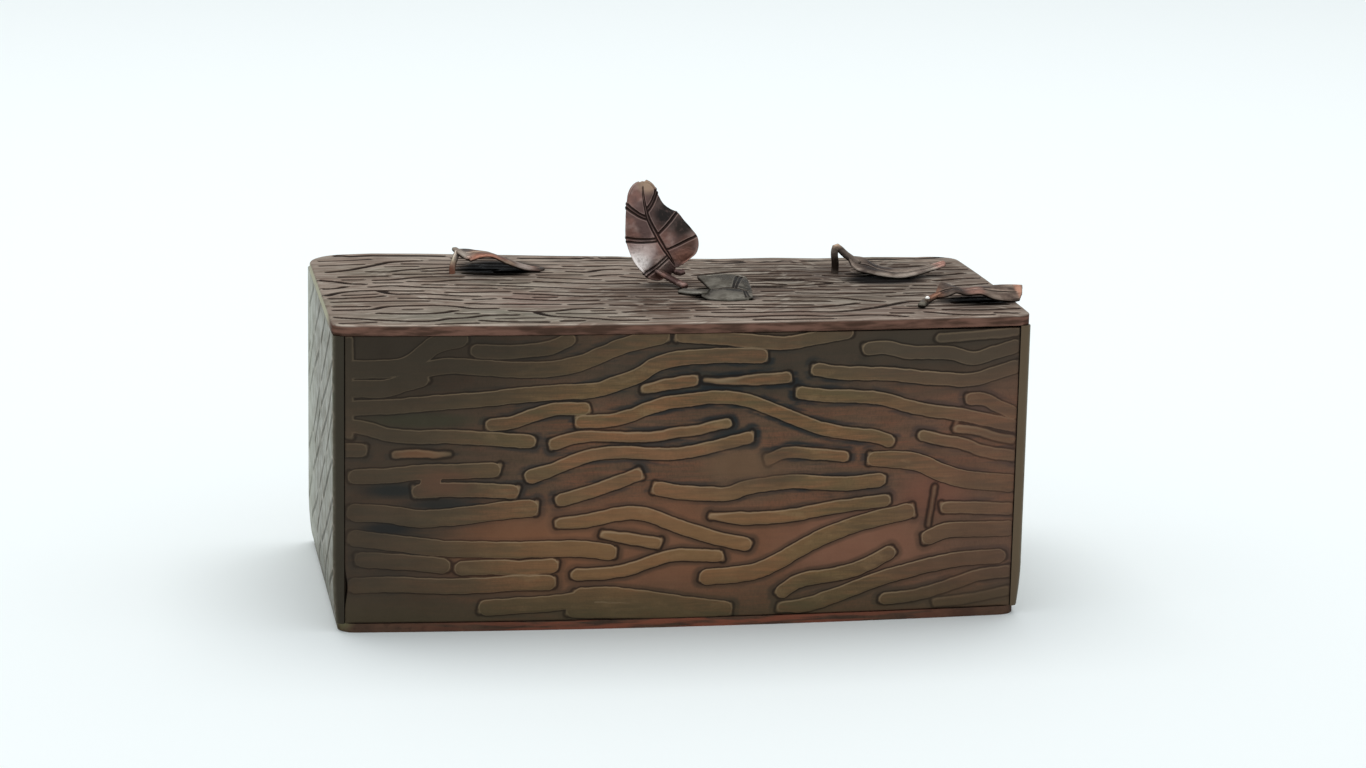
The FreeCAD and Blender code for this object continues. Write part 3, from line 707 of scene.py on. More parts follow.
def seam(z):
    """How far the front wall stands off the left wall: a hair's breadth, and more near the foot."""
    share = np.clip(1 - abs(z - seam_opening_middle) / seam_opening_reach, 0, 1)
    return seam_gap + seam_opening * share * share * (3 - 2 * share)


def rubbed(x, z):
    """How far the figure of the front is worn away: most at the left, the upper corners and the foot."""
    worn = np.zeros_like(x)
    for centre_x, centre_z, reach_x, reach_z, depth in RUBBED_PLACES:
        away = np.sqrt(((x - centre_x) / reach_x) ** 2 + ((z - centre_z) / reach_z) ** 2)
        worn = np.maximum(worn, depth * np.clip(1 - away, 0, 1) ** 0.6)
    return worn


def front_wall(finish):
    """Bowed front plate with its reserved strokes."""
    share, drop = softened(-inner_half_length, inner_half_length, step_along, wall_arris, 3)
    heights, top_drop = softened(wall_bottom, wall_top, step_across, wall_arris, 3)
    x, z = np.meshgrid(share, heights, indexing="ij")
    low = seam(z)
    span = 2 * inner_half_length
    x = -inner_half_length + low + (x + inner_half_length) * (span - low - right_seam_gap) / span
    lower_from, lower_over = 5, 40
    gap = front_gap * np.clip((x - lower_from) / lower_over, 0, 1)
    height_share = (z - wall_bottom) / (wall_top - wall_bottom)
    drops = np.maximum(drop[:, None], top_drop[None, :])
    face = front_y(x, inner_half_length) + stroke_height + drops
    grid = np.stack([x, face, z - gap * height_share], -1)
    charts = np.stack([x, z], -1)
    lean = np.arcsin(x * 2 * front_bow / (inner_half_length ** 2 + front_bow ** 2))
    outward = np.stack([np.sin(lean), -np.cos(lean), np.zeros_like(x)], -1)
    freedom = faded(share, share[0], share[-1], 0.3)[:, None] * (1 - rubbed(x, z))
    inner = round_edge(x, front_y(x, inner_half_length) + wall_thickness, grid[..., 2])
    strokes = squared(FRONT_STROKES, 8)
    return plate("front_plate", grid, charts, outward, freedom, [inner], 0, strokes, finish,
                 Height=stroke_height * MM, Widest=widest_stroke * MM, Seed=1.0)


def lid_face(inset):
    """Grid over the lid's plan, drawn in from its outline by an inset: square rows, rounded corners."""
    reach = half_length - inset
    front_radius = lid_front_radius - inset
    left_radius = lid_back_left_radius - inset
    right_radius = lid_back_right_radius - inset
    turns = 9
    angles = np.linspace(0, math.pi / 2, turns + 1)
    front_depth = front_radius * (1 - np.cos(angles))
    back_depth = (right_radius * (1 - np.cos(angles)))[::-1]
    whole_depth = 2 * half_depth - lid_front_radius - lid_back_right_radius
    middle = np.arange(1, math.ceil(whole_depth / lid_step_across))
    middle_share = middle / (len(middle) + 1)
    front_reach = reach - front_radius + front_radius * np.sin(angles)

    def back_reach(radius):
        spare = np.clip(radius - back_depth, 0, radius)
        return reach - radius + np.sqrt(radius ** 2 - spare ** 2)

    whole = np.full(len(middle), reach)
    left = -np.concatenate([front_reach, whole, back_reach(left_radius)])
    right = np.concatenate([front_reach, whole, back_reach(right_radius)])
    across = np.linspace(0, 1, math.ceil(2 * half_length / lid_step_along) + 1)[:, None]
    x = left[None, :] + (right - left)[None, :] * across
    front = front_y(x, half_length) + inset
    back = half_depth - inset
    rows = len(angles) * 2 + len(middle)
    y = np.empty_like(x)
    y[:, :len(angles)] = front[:, :len(angles)] + front_depth
    y[:, rows - len(angles):] = back - back_depth
    first = front[:, len(angles):rows - len(angles)] + front_radius
    y[:, len(angles):rows - len(angles)] = first + (back - right_radius - first) * middle_share
    return x, y


def lid(finish):
    """Flat lid plate with its grooves, a soft top arris and the sag of the real one."""
    x, y = lid_face(lid_arris)
    grid = sagged(np.stack([x, y, np.full_like(x, lid_top)], -1))
    charts = np.stack([x, y], -1)
    outward = np.broadcast_to((0.0, 0.0, 1.0), grid.shape)
    from_front = y + half_depth + front_bow * (1 - (x / half_length) ** 2)
    edge = np.minimum(half_length - abs(x), np.minimum(from_front, half_depth - y))
    plain_margin = 0.6
    freedom = np.clip((edge - lid_arris) / plain_margin, 0, 1)
    lower_arris = 0.12
    steps = [(lid_arris * (1 - math.sin(angle)), lid_top - lid_arris * (1 - math.cos(angle)))
             for angle in np.linspace(0, math.pi / 2, 5)[1:]]
    steps += [(0.0, lid_top - lid_thickness + lower_arris), (lower_arris, lid_top - lid_thickness)]
    rings = [sagged(round_edge(*lid_face(inset), z)) for inset, z in steps]
    lines = filled(LID_GROOVES, (-half_length + 1.5, -half_depth), (half_length - 1.5, half_depth - 0.8),
                   half_width=0.36, spacing=2.1, clear=1.7, slope=0.0, longest=75, seed=21)
    lines = [(half_width * (wider_right if places[0][0] > wider_right_from else wider_left), places)
             for half_width, places in lines]
    return plate("lid_top", grid, charts, outward, freedom, rings, len(rings), lines, finish,
                 Height=-groove_depth * MM, Widest=widest_groove * MM, Slope_Width=0.6 * MM,
                 Unsteadiness=0.16 * MM, Unsteady_Over=4.5 * MM, Raggedness=0.0, Seed=2.0)


def bark_rows(seed, reach, low, high):
    """The back wall's own strokes: rows that swell round two knots, with strokes of many widths."""
    random = np.random.default_rng(seed)
    knots = ((-22.0, 27.0, 5.0), (19.0, 15.0, 4.5))
    knot_reach, knot_height = 11, 12
    strokes = []
    height = low
    while height < high + 2:
        start = -reach + random.uniform(-9, 2)
        half_width = random.uniform(0.7, 1.25)
        while start < reach:
            length = random.uniform(7, 27)
            end = min(start + length, reach)
            places = []
            for x in np.linspace(max(start, -reach), end, max(3, round((end - start) / 3.5) + 1)):
                bend = 0.8 * math.sin(x / 11 + height / 7)
                for knot_x, knot_z, rise in knots:
                    away = (x - knot_x) / knot_reach
                    side = max(-1.0, min(1.0, (height - knot_z) / 3))
                    up = (height - knot_z) / knot_height
                    bend += rise * 0.45 * side * math.exp(-away * away - up ** 2)
                width = half_width * random.uniform(0.8, 1.1)
                places.append((x, min(height + bend, high), width))
            if end - max(start, -reach) > 3:
                strokes.append((half_width, places))
            start = end + 2 * half_width + random.uniform(0.8, 3)
        height += half_width + random.uniform(1.9, 2.5)
    return strokes


def end_wall(side, name, strokes, finish, seed):
    """Full depth end plate: soft outer corners, a foot that curves in, grooved outside."""
    across, corner_drop = softened(-half_depth, half_depth, side_grid_step, wall_corner_radius)
    heights, top_drop = softened(wall_bottom, wall_top, side_grid_step, wall_arris, 3)
    y, z = np.meshgrid(across, heights, indexing="ij")
    curve_radius = (foot_curve_height ** 2 + foot_curve_inset ** 2) / (2 * foot_curve_inset)
    under = np.clip(wall_bottom + foot_curve_height - z, 0, foot_curve_height)
    foot = curve_radius - np.sqrt(curve_radius ** 2 - under ** 2)
    x = side * (half_length - foot - np.maximum(corner_drop[:, None], top_drop[None, :]))
    grid = sagged(np.stack([x, y, z], -1))
    charts = np.stack([y, z], -1)
    outward = np.broadcast_to((float(side), 0.0, 0.0), grid.shape)
    freedom = (faded(across, -half_depth + wall_corner_radius, half_depth - wall_corner_radius, 0.8)[:, None]
               * faded(heights, wall_bottom - 1, wall_top + 1, 0.5)[None, :])
    inner = sagged(round_edge(side * inner_half_length, y, z))
    return plate(name, grid, charts, outward, freedom, [inner], 0, strokes, finish,
                 Height=-end_groove_depth * MM, Widest=widest_groove * MM, Slope_Width=0.4 * MM,
                 Unsteadiness=0.25 * MM, Raggedness=1.0, Seed=seed)


def back_wall(finish):
    """Flat back plate with strokes of its own layout."""
    across, side_drop = softened(-inner_half_length + seam_gap, inner_half_length - seam_gap, back_grid_step,
                                 wall_arris, 3)
    heights, top_drop = softened(wall_bottom, wall_top, back_grid_step, wall_arris, 3)
    x, z = np.meshgrid(across, heights, indexing="ij")
    face = half_depth - stroke_height - np.maximum(side_drop[:, None], top_drop[None, :])
    grid = sagged(np.stack([x, face, z], -1))
    charts = np.stack([x, z], -1)
    outward = np.broadcast_to((0.0, 1.0, 0.0), grid.shape)
    freedom = np.broadcast_to(faded(across, across[0], across[-1], 0.3)[:, None], x.shape)
    inner = sagged(round_edge(x, half_depth - wall_thickness, z))
    strokes = squared(bark_rows(11, inner_half_length - 1.6, wall_bottom + 1.5, wall_top - 0.5), 9)
    return plate("back_plate", grid, charts, outward, freedom, [inner], 0, strokes, finish,
                 Height=stroke_height * MM, Widest=widest_stroke * MM, Seed=3.0)


def fair(points, shares):
    """Points at shares of the length of a smooth line through a few points."""
    points = np.array(points, float)
    steps = np.linalg.norm(np.diff(points, axis=0), axis=1)
    knots = np.concatenate([[0], np.cumsum(steps)]) / steps.sum()
    slopes = np.gradient(points, knots, axis=0)
    shares = np.asarray(shares, float)
    piece = np.clip(np.searchsorted(knots, shares, side="right") - 1, 0, len(knots) - 2)
    width = knots[piece + 1] - knots[piece]
    t = ((shares - knots[piece]) / width)[:, None]
    width = width[:, None]
    return ((2 * t ** 3 - 3 * t ** 2 + 1) * points[piece] + (t ** 3 - 2 * t ** 2 + t) * width * slopes[piece]
            + (3 * t ** 2 - 2 * t ** 3) * points[piece + 1] + (t ** 3 - t ** 2) * width * slopes[piece + 1])


def spread(shares, place, size):
    """Turns a leaf's shares into points over the lid."""
    origin = np.array([place[0] * 2 * half_length, place[1] * 2 * half_depth, lid_top])
    return origin + np.array(shares, float) * np.array(size)


def ribbon(name, points, width, thickness, up, finish):
    """A flat bar with soft edges that follows a smooth line, closed at both ends."""
    sections, sided, squareness = 26, 16, 0.6
    line = fair(points, np.linspace(0, 1, sections))
    tangents = np.gradient(line, axis=0)
    tangents /= np.linalg.norm(tangents, axis=1)[:, None]
    sides = np.cross(tangents, np.array(up, float))
    sides /= np.linalg.norm(sides, axis=1)[:, None]
    normals = np.cross(sides, tangents)
    angles = np.linspace(0, 2 * math.pi, sided, endpoint=False)
    across = np.sign(np.cos(angles)) * abs(np.cos(angles)) ** squareness * width / 2
    through = np.sign(np.sin(angles)) * abs(np.sin(angles)) ** squareness * thickness / 2
    vertices = [(centre + side * a + normal * b) * MM for centre, side, normal in zip(line, sides, normals)
                for a, b in zip(across, through)]
    faces = [list(range(sided))[::-1], [(sections - 1) * sided + k for k in range(sided)]]
    for k in range(sections - 1):
        for m in range(sided):
            n = (m + 1) % sided
            faces.append([k * sided + m, k * sided + n, (k + 1) * sided + n, (k + 1) * sided + m])
    mesh = bpy.data.meshes.new(name)
    mesh.from_pydata([tuple(v) for v in vertices], [], faces)
    mesh.polygons.foreach_set("use_smooth", [True] * len(faces))
    far_from_creases = -2.0
    inside = mesh.attributes.new("inside", "FLOAT", "POINT")
    inside.data.foreach_set("value", [far_from_creases] * len(vertices))
    mesh.materials.append(finish)
    face_outwards(mesh)
    return shown(name, mesh)


def leaf(name, finish, place, size, camber, seed, front, rib, back, veins, bars, single_veins=(),
         upward=(0, 0, 1)):
    """A folded sheet between a front edge, a rib and a back edge, with its stem and with veins pressed
    in, most of them double and some single."""
    front, rib, back = [sagged(spread(line, place, size)) for line in (front, rib, back)]
    length = np.linalg.norm(np.diff(rib, axis=0), axis=1).sum()
    width = 2 * max(np.linalg.norm(front[len(front) // 2] - rib[len(rib) // 2]),
                    np.linalg.norm(back[len(back) // 2] - rib[len(rib) // 2]))
    along = np.linspace(0, 1, math.ceil(length / LEAF_GRID_STEP) + 1)
    across = np.linspace(-1, 1, 2 * math.ceil(width / 2 / LEAF_GRID_STEP) + 1)
    front_line, rib_line, back_line = fair(front, along), fair(rib, along), fair(back, along)
    v = across[None, :, None]
    grid = np.where(v < 0, rib_line[:, None] + (front_line - rib_line)[:, None] * -v,
                    rib_line[:, None] + (back_line - rib_line)[:, None] * v)
    pillow = camber * (1 - (2 * abs(v) - 1) ** 2) * np.sin(math.pi * along)[:, None, None]
    grid = grid + sheet_normals(grid, upward) * pillow
    outward = sheet_normals(grid, upward)
    u, w = np.meshgrid(along * length, across * width / 2, indexing="ij")
    mesh = bpy.data.meshes.new(name)
    rows, columns = u.shape
    index = np.arange(rows * columns).reshape(rows, columns)
    faces = np.stack([index[:-1, :-1], index[1:, :-1], index[1:, 1:], index[:-1, 1:]], -1).reshape(-1, 4)
    mesh.from_pydata((grid.reshape(-1, 3) * MM).tolist(), [], faces.tolist())
    mesh.polygons.foreach_set("use_smooth", [True] * len(faces))
    end_margin, edge_margin = 1.2, 0.3
    free = np.clip(np.minimum(u, length - u) / end_margin, 0, 1)
    free = free * np.clip((width / 2 - abs(w)) / edge_margin, 0, 1)
    charted(mesh, np.stack([u, w], -1).reshape(-1, 2), outward.reshape(-1, 3), free.ravel())
    if mesh_up(mesh, upward) < 0:
        mesh.flip_normals()
    sized = [[[(p[0] * length, p[1] * width / 2) for p in places] for places in lines]
             for lines in (veins, single_veins)]
    strokes = doubled(sized[0]) + [(VEIN_HALF_WIDTH, places) for places in sized[1]]
    sheet = with_figure(name, mesh, strokes, finish, LEAF_THICKNESS, Height=-VEIN_DEPTH * MM,
                        Widest=1.2 * VEIN_HALF_WIDTH * MM, Slope_Width=0.1 * MM, Spacing=0.2 * MM,
                        Unsteadiness=0.08 * MM, Dent_Depth=0.22 * MM, Dent_Size=2.6 * MM, Seed=seed)
    stems = [ribbon(f"{name}_bar", sagged(spread(points, place, size)), bar_width, bar_thickness, up, finish)
             for points, up, bar_width, bar_thickness in bars]
    with bpy.context.temp_override(active_object=sheet, selected_editable_objects=[sheet] + stems):
        bpy.ops.object.join()
    return sheet


def doubled(veins):
    """Each vein as two thin pressed lines with a ridge between them."""
    lines = []
    for places in veins:
        line = fair(places, np.linspace(0, 1, 9))
        tangents = np.gradient(line, axis=0)
        tangents /= np.linalg.norm(tangents, axis=1)[:, None]
        across = np.stack([-tangents[:, 1], tangents[:, 0]], -1) * VEIN_SPACING / 2
        for side in (-1, 1):
            lines.append((VEIN_HALF_WIDTH, [tuple(p) for p in line + side * across]))
    return lines


def sheet_normals(grid, upward):
    """The side of a sheet that faces a given way, at each of its points."""
    normals = np.cross(np.gradient(grid, axis=0), np.gradient(grid, axis=1))
    lengths = np.linalg.norm(normals, axis=-1, keepdims=True)
    normals = normals / np.maximum(lengths, 1e-9)
    if (normals.reshape(-1, 3).mean(0) @ np.array(upward, float)) < 0:
        normals = -normals
    return normals


def mesh_up(mesh, upward):
    """How far a mesh's faces look a given way on the whole."""
    normals = np.zeros(len(mesh.polygons) * 3, np.float32)
    mesh.polygons.foreach_get("normal", normals)
    return float(normals.reshape(-1, 3).mean(0) @ np.array(upward, float))


def new_finish(name, metallic, grazing):
    """An empty material with its shader. Grazing is the tint of reflections seen along the surface."""
    material = bpy.data.materials.new(name)
    material.use_nodes = True
    tree = material.node_tree
    tree.nodes.clear()
    shader = add(tree, "ShaderNodeBsdfPrincipled", {"Metallic": metallic, "Specular Tint": linear(grazing)})
    add(tree, "ShaderNodeOutputMaterial", {"Surface": shader})
    place = add(tree, "ShaderNodeTexCoord").outputs["Object"]
    return material, tree, shader, place


def zone(tree, place, centre, reach, core=0.25):
    """One round a place on the box, as far as the core's share of the reach, and zero past its reach.
    Lengths in millimetres, and a reach of 0 has no end."""
    middle = [c * MM for c in centre]
    away = add(tree, "ShaderNodeVectorMath", {0: place, 1: middle}, operation="SUBTRACT")
    per_reach = [1 / (r * MM) if r else 0 for r in reach]
    scaled = add(tree, "ShaderNodeVectorMath", {0: away, 1: per_reach}, operation="MULTIPLY")
    distance = add(tree, "ShaderNodeVectorMath", {0: scaled}, operation="LENGTH").outputs["Value"]
    return add(tree, "ShaderNodeMapRange",
               {"Value": distance, "From Min": core, "From Max": 1.0, "To Min": 1.0, "To Max": 0.0},
               interpolation_type="SMOOTHSTEP")


def patches(tree, place, size, low, high, seed=0.0, detail=3.0):
    """Soft patches of a size in millimetres, one or three numbers: zero below low and one above high."""
    sizes = size if isinstance(size, tuple) else (size, size, size)
    scaled = add(tree, "ShaderNodeMapping", {"Vector": place, "Location": (seed, 2 * seed, -seed),
                                             "Scale": [1 / (s * MM) for s in sizes]})
    noise = add(tree, "ShaderNodeTexNoise", {"Vector": scaled, "Scale": 1.0, "Detail": detail})
    return add(tree, "ShaderNodeMapRange", {"Value": noise, "From Min": low, "From Max": high},
               interpolation_type="SMOOTHSTEP")


def flowing(tree, place, size, low, high, seed):
    """Patches drawn out along the box that drift to and fro like wood grain. Lengths in millimetres."""
    bend, drift = 15, 2.2
    slow = add(tree, "ShaderNodeTexNoise", {"Vector": place, "Scale": 1 / (bend * MM), "Detail": 1.0})
    shift = add(tree, "ShaderNodeMapRange", {"Value": slow, "From Min": 0.25, "From Max": 0.75,
                                             "To Min": -drift * MM, "To Max": drift * MM})
    aside = add(tree, "ShaderNodeCombineXYZ", {"Y": shift, "Z": shift})
    moved = add(tree, "ShaderNodeVectorMath", {0: place, 1: aside}, operation="ADD")
    return patches(tree, moved, size, low, high, seed)


def band(tree, value, low, peak, high):
    """One where a value is at its peak, and zero at low and high."""
    rising = add(tree, "ShaderNodeMapRange", {"Value": value, "From Min": low, "From Max": peak},
                 interpolation_type="SMOOTHSTEP")
    falling = add(tree, "ShaderNodeMapRange",
                  {"Value": value, "From Min": peak, "From Max": high, "To Min": 1.0, "To Max": 0.0},
                  interpolation_type="SMOOTHSTEP")
    return times(tree, rising, falling)


def layered(tree, colour, layers):
    """A colour with layers of other colours laid over it, each by a share."""
    for share, layer in layers:
        over = linear(layer) if isinstance(layer, str) else layer
        under = linear(colour) if isinstance(colour, str) else colour
        colour = add(tree, "ShaderNodeMix", {0: share, 6: under, 7: over}, data_type="RGBA").outputs[2]
    return colour


def placed(tree, place, rows, core=0.25, **limits):
    """Layers from rows of middle, reach, share and colour. Words after them name what limits the layer."""
    layers = []
    for centre, reach, share, colour, *words in rows:
        near = zone(tree, place, centre, reach, core)
        layers.append((times(tree, near, *[limits[word] for word in words], share), colour))
    return layers


def roughened(tree, shader, place, grain, depth, low, high):
    """A fine grain in relief, and a roughness that changes over the surface. Lengths in millimetres."""
    uneven = patches(tree, place, 3.0, 0.3, 0.7, seed=7.0)
    roughness = add(tree, "ShaderNodeMapRange", {"Value": uneven, "To Min": low, "To Max": high})
    grit = patches(tree, place, grain, 0.2, 0.8, seed=3.0, detail=4.0)
    relief = add(tree, "ShaderNodeBump", {"Height": grit, "Distance": depth * MM, "Strength": 1.0})
    feed(tree, shader, {"Roughness": roughness, "Normal": relief})


# Where the front's colours change: middle and reach along the wall and up, in millimetres, share,
# colour, and what the patch is limited to
FRONT_GROUND = [
    ((-56, 22), (46, 0), 0.85, "#3E362E"),
    ((52, 22), (34, 0), 0.4, "#6C4E42"),
    ((-3, 12), (34, 11), 0.75, "#7C5540"),
    ((20, 47), (60, 17), 0.8, "#40382F"),
    ((38, 41), (26, 9), 0.7, "#3E3830"),
    ((4, 37), (28, 8), 0.65, "#383630"),
    ((-23, 11), (17, 9), 0.65, "#80573F"),
    ((26, 12), (17, 9), 0.75, "#835B49"),
    ((8, 8), (52, 18), 0.7, "#4A3B30", "beside"),
    ((8, 35), (24, 9), 0.9, "#23282B", "beside", "broken"),
    ((14, 28), (20, 6), 0.85, "#282C2D", "beside", "broken"),
    ((16, 20), (18, 4), 0.8, "#2A2C2D", "beside", "broken"),
    ((-43, 15.4), (6, 1.5), 0.9, "#272828"),
    ((-42, 21), (7, 1.6), 0.9, "#292B2A"),
    ((-35, 19), (8, 1.6), 0.8, "#2B2C2B"),
    ((-38, 31.3), (12, 1.6), 0.7, "#3D3D30"),
    ((8, 24), (9, 3.5), 0.8, "#6B5340"),
    ((37, 19), (8, 5), 0.7, "#744E40"),
    ((0, -2), (0, 10), 0.6, "#4E4635"),
    ((-38, 44), (34, 17), 0.8, "#352F28"),
]
FRONT_STROKE_TOPS = [
    ((-56, 22), (46, 0), 0.85, "#4C4236"),
    ((52, 22), (34, 0), 0.6, "#6C5042"),
    ((-2, 23), (34, 12), 0.3, "#82604A"),
    ((-3, 12), (34, 11), 0.55, "#876345"),
    ((42, 8), (18, 9), 0.6, "#5B4639"),
    ((20, 47), (60, 17), 0.6, "#4D4338"),
    ((38, 41), (26, 9), 0.7, "#4C443A"),
    ((-35, 22), (6, 3), 0.7, "#66493A"),
    ((-38.5, 26.3), (5, 1.5), 0.8, "#7C553D"),
    ((0, -2), (0, 10), 0.6, "#5A5039"),
    ((-38, 44), (34, 17), 0.8, "#3B352D"),
]


def etched_copper(name, ground_rows=(), stroke_rows=()):
    """Etched and patinated copper sheet: a sunk ground, blue grey beside the strokes and pink brown
    away from them, and flat strokes of golden brown with a thin rubbed edge, painted lighter as a
    highlight where it faces up, and a thin dark outline of patina with painted shade at the stroke's foot."""
    material, tree, shader, place = new_finish(name, 0.7, "#7C7870")
    inside = add(tree, "ShaderNodeAttribute", attribute_name="inside").outputs["Fac"]
    crisp = add(tree, "ShaderNodeAttribute", attribute_name="freedom").outputs["Fac"]
    outline_share = add(tree, "ShaderNodeMapRange", {"Value": crisp, "To Min": 0.25, "To Max": 0.82})
    stroke_share = add(tree, "ShaderNodeMapRange", {"Value": crisp, "To Min": 0.08})
    on_stroke = add(tree, "ShaderNodeMapRange", {"Value": inside, "From Min": -0.04, "From Max": 0.04},
                    interpolation_type="SMOOTHSTEP")
    beside = add(tree, "ShaderNodeMapRange", {"Value": inside, "From Min": -0.9, "From Max": -0.25},
                 interpolation_type="SMOOTHSTEP")
    # How far a face turns up, for the painted highlight on the strokes' upper edges
    normal = add(tree, "ShaderNodeNewGeometry").outputs["Normal"]
    upward = add(tree, "ShaderNodeSeparateXYZ", {0: normal}).outputs["Z"]
    lit_side = add(tree, "ShaderNodeMapRange",
                   {"Value": upward, "From Min": -0.2, "From Max": 0.2, "To Min": 0.35})
    along = patches(tree, place, (7.0, 7.0, 0.6), 0.35, 0.7, seed=1.0)
    fine_along = patches(tree, place, (3.0, 3.0, 0.16), 0.3, 0.75, seed=2.0)
    pockets = patches(tree, place, (9.0, 9.0, 1.4), 0.44, 0.58, seed=4.0)
    broken = patches(tree, place, (4.0, 4.0, 1.0), 0.36, 0.56, seed=14.0)
    grit = patches(tree, place, (0.3, 0.3, 0.5), 0.4, 0.75, seed=15.0)
    warm = patches(tree, place, (11.0, 11.0, 6.0), 0.42, 0.6, seed=5.0)
    pale = patches(tree, place, (5.0, 5.0, 1.6), 0.55, 0.72, seed=6.0)
    olive = patches(tree, place, (13.0, 13.0, 3.0), 0.5, 0.64, seed=9.0)

    def on_wall(rows):
        upright = [((x, 0, z), (reach_x, 0, reach_z), *rest) for (x, z), (reach_x, reach_z), *rest in rows]
        return placed(tree, place, upright, beside=beside, broken=broken)

    ground = layered(tree, "#6A5040", [
        (warm, "#714D3B"), (times(tree, fine_along, 0.7), "#5A483B"), (times(tree, along, 0.6), "#514537"),
        (times(tree, grit, 0.4), "#463A31"), (times(tree, beside, pockets, 0.85), "#343332")]
        + on_wall(ground_rows))
    stroke = layered(tree, "#765D41", [
        (warm, "#875F43"), (times(tree, along, 0.9), "#5C4D39"), (times(tree, fine_along, 0.5), "#554732"),
        (times(tree, olive, 0.5), "#62583E"), (times(tree, pale, 0.45), "#8F7454"),
        (times(tree, grit, 0.35), "#5A4936")] + on_wall(stroke_rows))
    colour = layered(tree, ground, [
        (times(tree, on_stroke, stroke_share), stroke),
        # Dark outline: patina in the etched corner, with painted shade at the stroke's foot
        (times(tree, band(tree, inside, -0.26, -0.07, 0.03), outline_share), "#221C18"),
        # Rubbed edge of the strokes, painted lighter where it faces up: a painted highlight
        (times(tree, band(tree, inside, -0.02, 0.05, 0.14), lit_side, crisp, crisp, 0.55), "#9C876C")])
    feed(tree, shader, {"Base Color": colour})
    roughened(tree, shader, place, 0.35, 0.015, 0.42, 0.56)
    return material


def tooled_copper(name, plain, edge, tints=(), painted_leaf_shadows=(), row_share=0.3, shine_share=0.5, groove_share=0.98):
    """Copper sheet tooled with thin grooves and left a dull grey brown, with a drawn-out grain. The
    grooves hold dark patina, darkened further as painted shade, their lips are rubbed lighter, and the
    cut edge shows redder, with a painted highlight where it faces left at the box's left end. The left
    end wall gets a pale painted reflection towards its back. Tints under the grooves and the leaves'
    painted shadows over them are places, reaches, shares and colours; in the grooves and under the
    painted shadows the reflections are dimmed too."""
    grazing = "#8A8680" if edge else "#F4F6F0"
    material, tree, shader, place = new_finish(name, 0.7 if edge else 0.85, grazing)
    inside = add(tree, "ShaderNodeAttribute", attribute_name="inside").outputs["Fac"]
    # Dark in the grooves: patina, with painted shade laid on top of it
    deep = add(tree, "ShaderNodeMapRange", {"Value": inside, "From Min": -0.3, "From Max": 0.06},
               interpolation_type="SMOOTHSTEP")
    in_groove = times(tree, deep, groove_share)
    greenish = patches(tree, place, 16.0, 0.52, 0.68, seed=8.0)
    soft = patches(tree, place, (12.0, 5.0, 5.0), 0.4, 0.62, seed=1.0)
    rows = flowing(tree, place, (34.0, 0.9, 0.9), 0.48, 0.58, 5.0)
    shine = flowing(tree, place, (40.0, 0.8, 0.8), 0.5, 0.62, 11.0)
    specks = patches(tree, place, 0.7, 0.62, 0.75, seed=2.0)
    # Painted shadows: near black patches where the leaves shade the lid
    painted_shadow_layers = placed(tree, place, painted_leaf_shadows, core=0.5)
    colour = layered(tree, plain, [
        (times(tree, greenish, 0.5), "#7C7A6C" if edge else "#565A4C"),
        (times(tree, soft, 0.5), "#6A554A" if edge else "#4C463A")] + placed(tree, place, tints) + [
        (times(tree, rows, row_share), "#4E4038"),
        (times(tree, shine, shine_share), "#B3AA9E"),
        (times(tree, specks, 0.35), "#4D4038"),
        (times(tree, band(tree, inside, -0.9, -0.42, -0.2), 0.35), "#A09184"),
        (in_groove, "#29201B")] + painted_shadow_layers)
    # Reflections dimmed in the grooves and under the painted shadows, as painted shade
    dull = in_groove
    for covered, _ in painted_shadow_layers:
        dull = add(tree, "ShaderNodeMath", {0: dull, 1: covered}, operation="MAXIMUM")
    sheen = layered(tree, grazing, [(dull, "#14110F")])
    normal = add(tree, "ShaderNodeNewGeometry").outputs["Normal"]
    facing = add(tree, "ShaderNodeSeparateXYZ", {0: normal}).outputs
    if edge:
        on_rim = add(tree, "ShaderNodeMapRange",
                     {"Value": facing["Z"], "From Min": 0.1, "From Max": 0.7, "To Min": 1.0, "To Max": 0.0})
        worn = patches(tree, place, (5.0, 5.0, 0.8), 0.35, 0.65, seed=9.0)
        # Painted highlight: the edge's faces that turn left, made pale at the box's left end
        leftward = add(tree, "ShaderNodeMapRange",
                       {"Value": facing["X"], "From Min": -0.35, "From Max": -0.8})
        lit_left_end = times(tree, leftward, zone(tree, place, (-half_length, 8, 45), (0, 31, 0), 0.7))
        rim = layered(tree, edge, [(worn, "#4A372E"), (lit_left_end, "#B9B69E")])
        colour = layered(tree, colour, [(on_rim, rim)])
    else:
        on_front = add(tree, "ShaderNodeMapRange",
                       {"Value": facing["Y"], "From Min": -0.9, "From Max": -0.25,
                        "To Min": 1.0, "To Max": 0.0})
        sideways = add(tree, "ShaderNodeSeparateXYZ", {0: place}).outputs["X"]
        at_right = add(tree, "ShaderNodeMapRange", {"Value": sideways, "From Min": -0.01, "From Max": 0.01})
        strip = layered(tree, "#3A352D", [(at_right, "#5E5040")])
        # Painted reflection: the left end wall made pale towards its back
        behind = zone(tree, place, (-half_length, 26, 24), (20, 24, 0), 0.1)
        colour = layered(tree, colour, [(times(tree, behind, 0.5), "#9A9C8E"), (on_front, strip)])
    feed(tree, shader, {"Base Color": colour, "Specular Tint": sheen, "Specular IOR Level": 0.15})
    roughened(tree, shader, place, 0.5, 0.015, 0.45 if edge else 0.3, 0.6 if edge else 0.45)
    return material


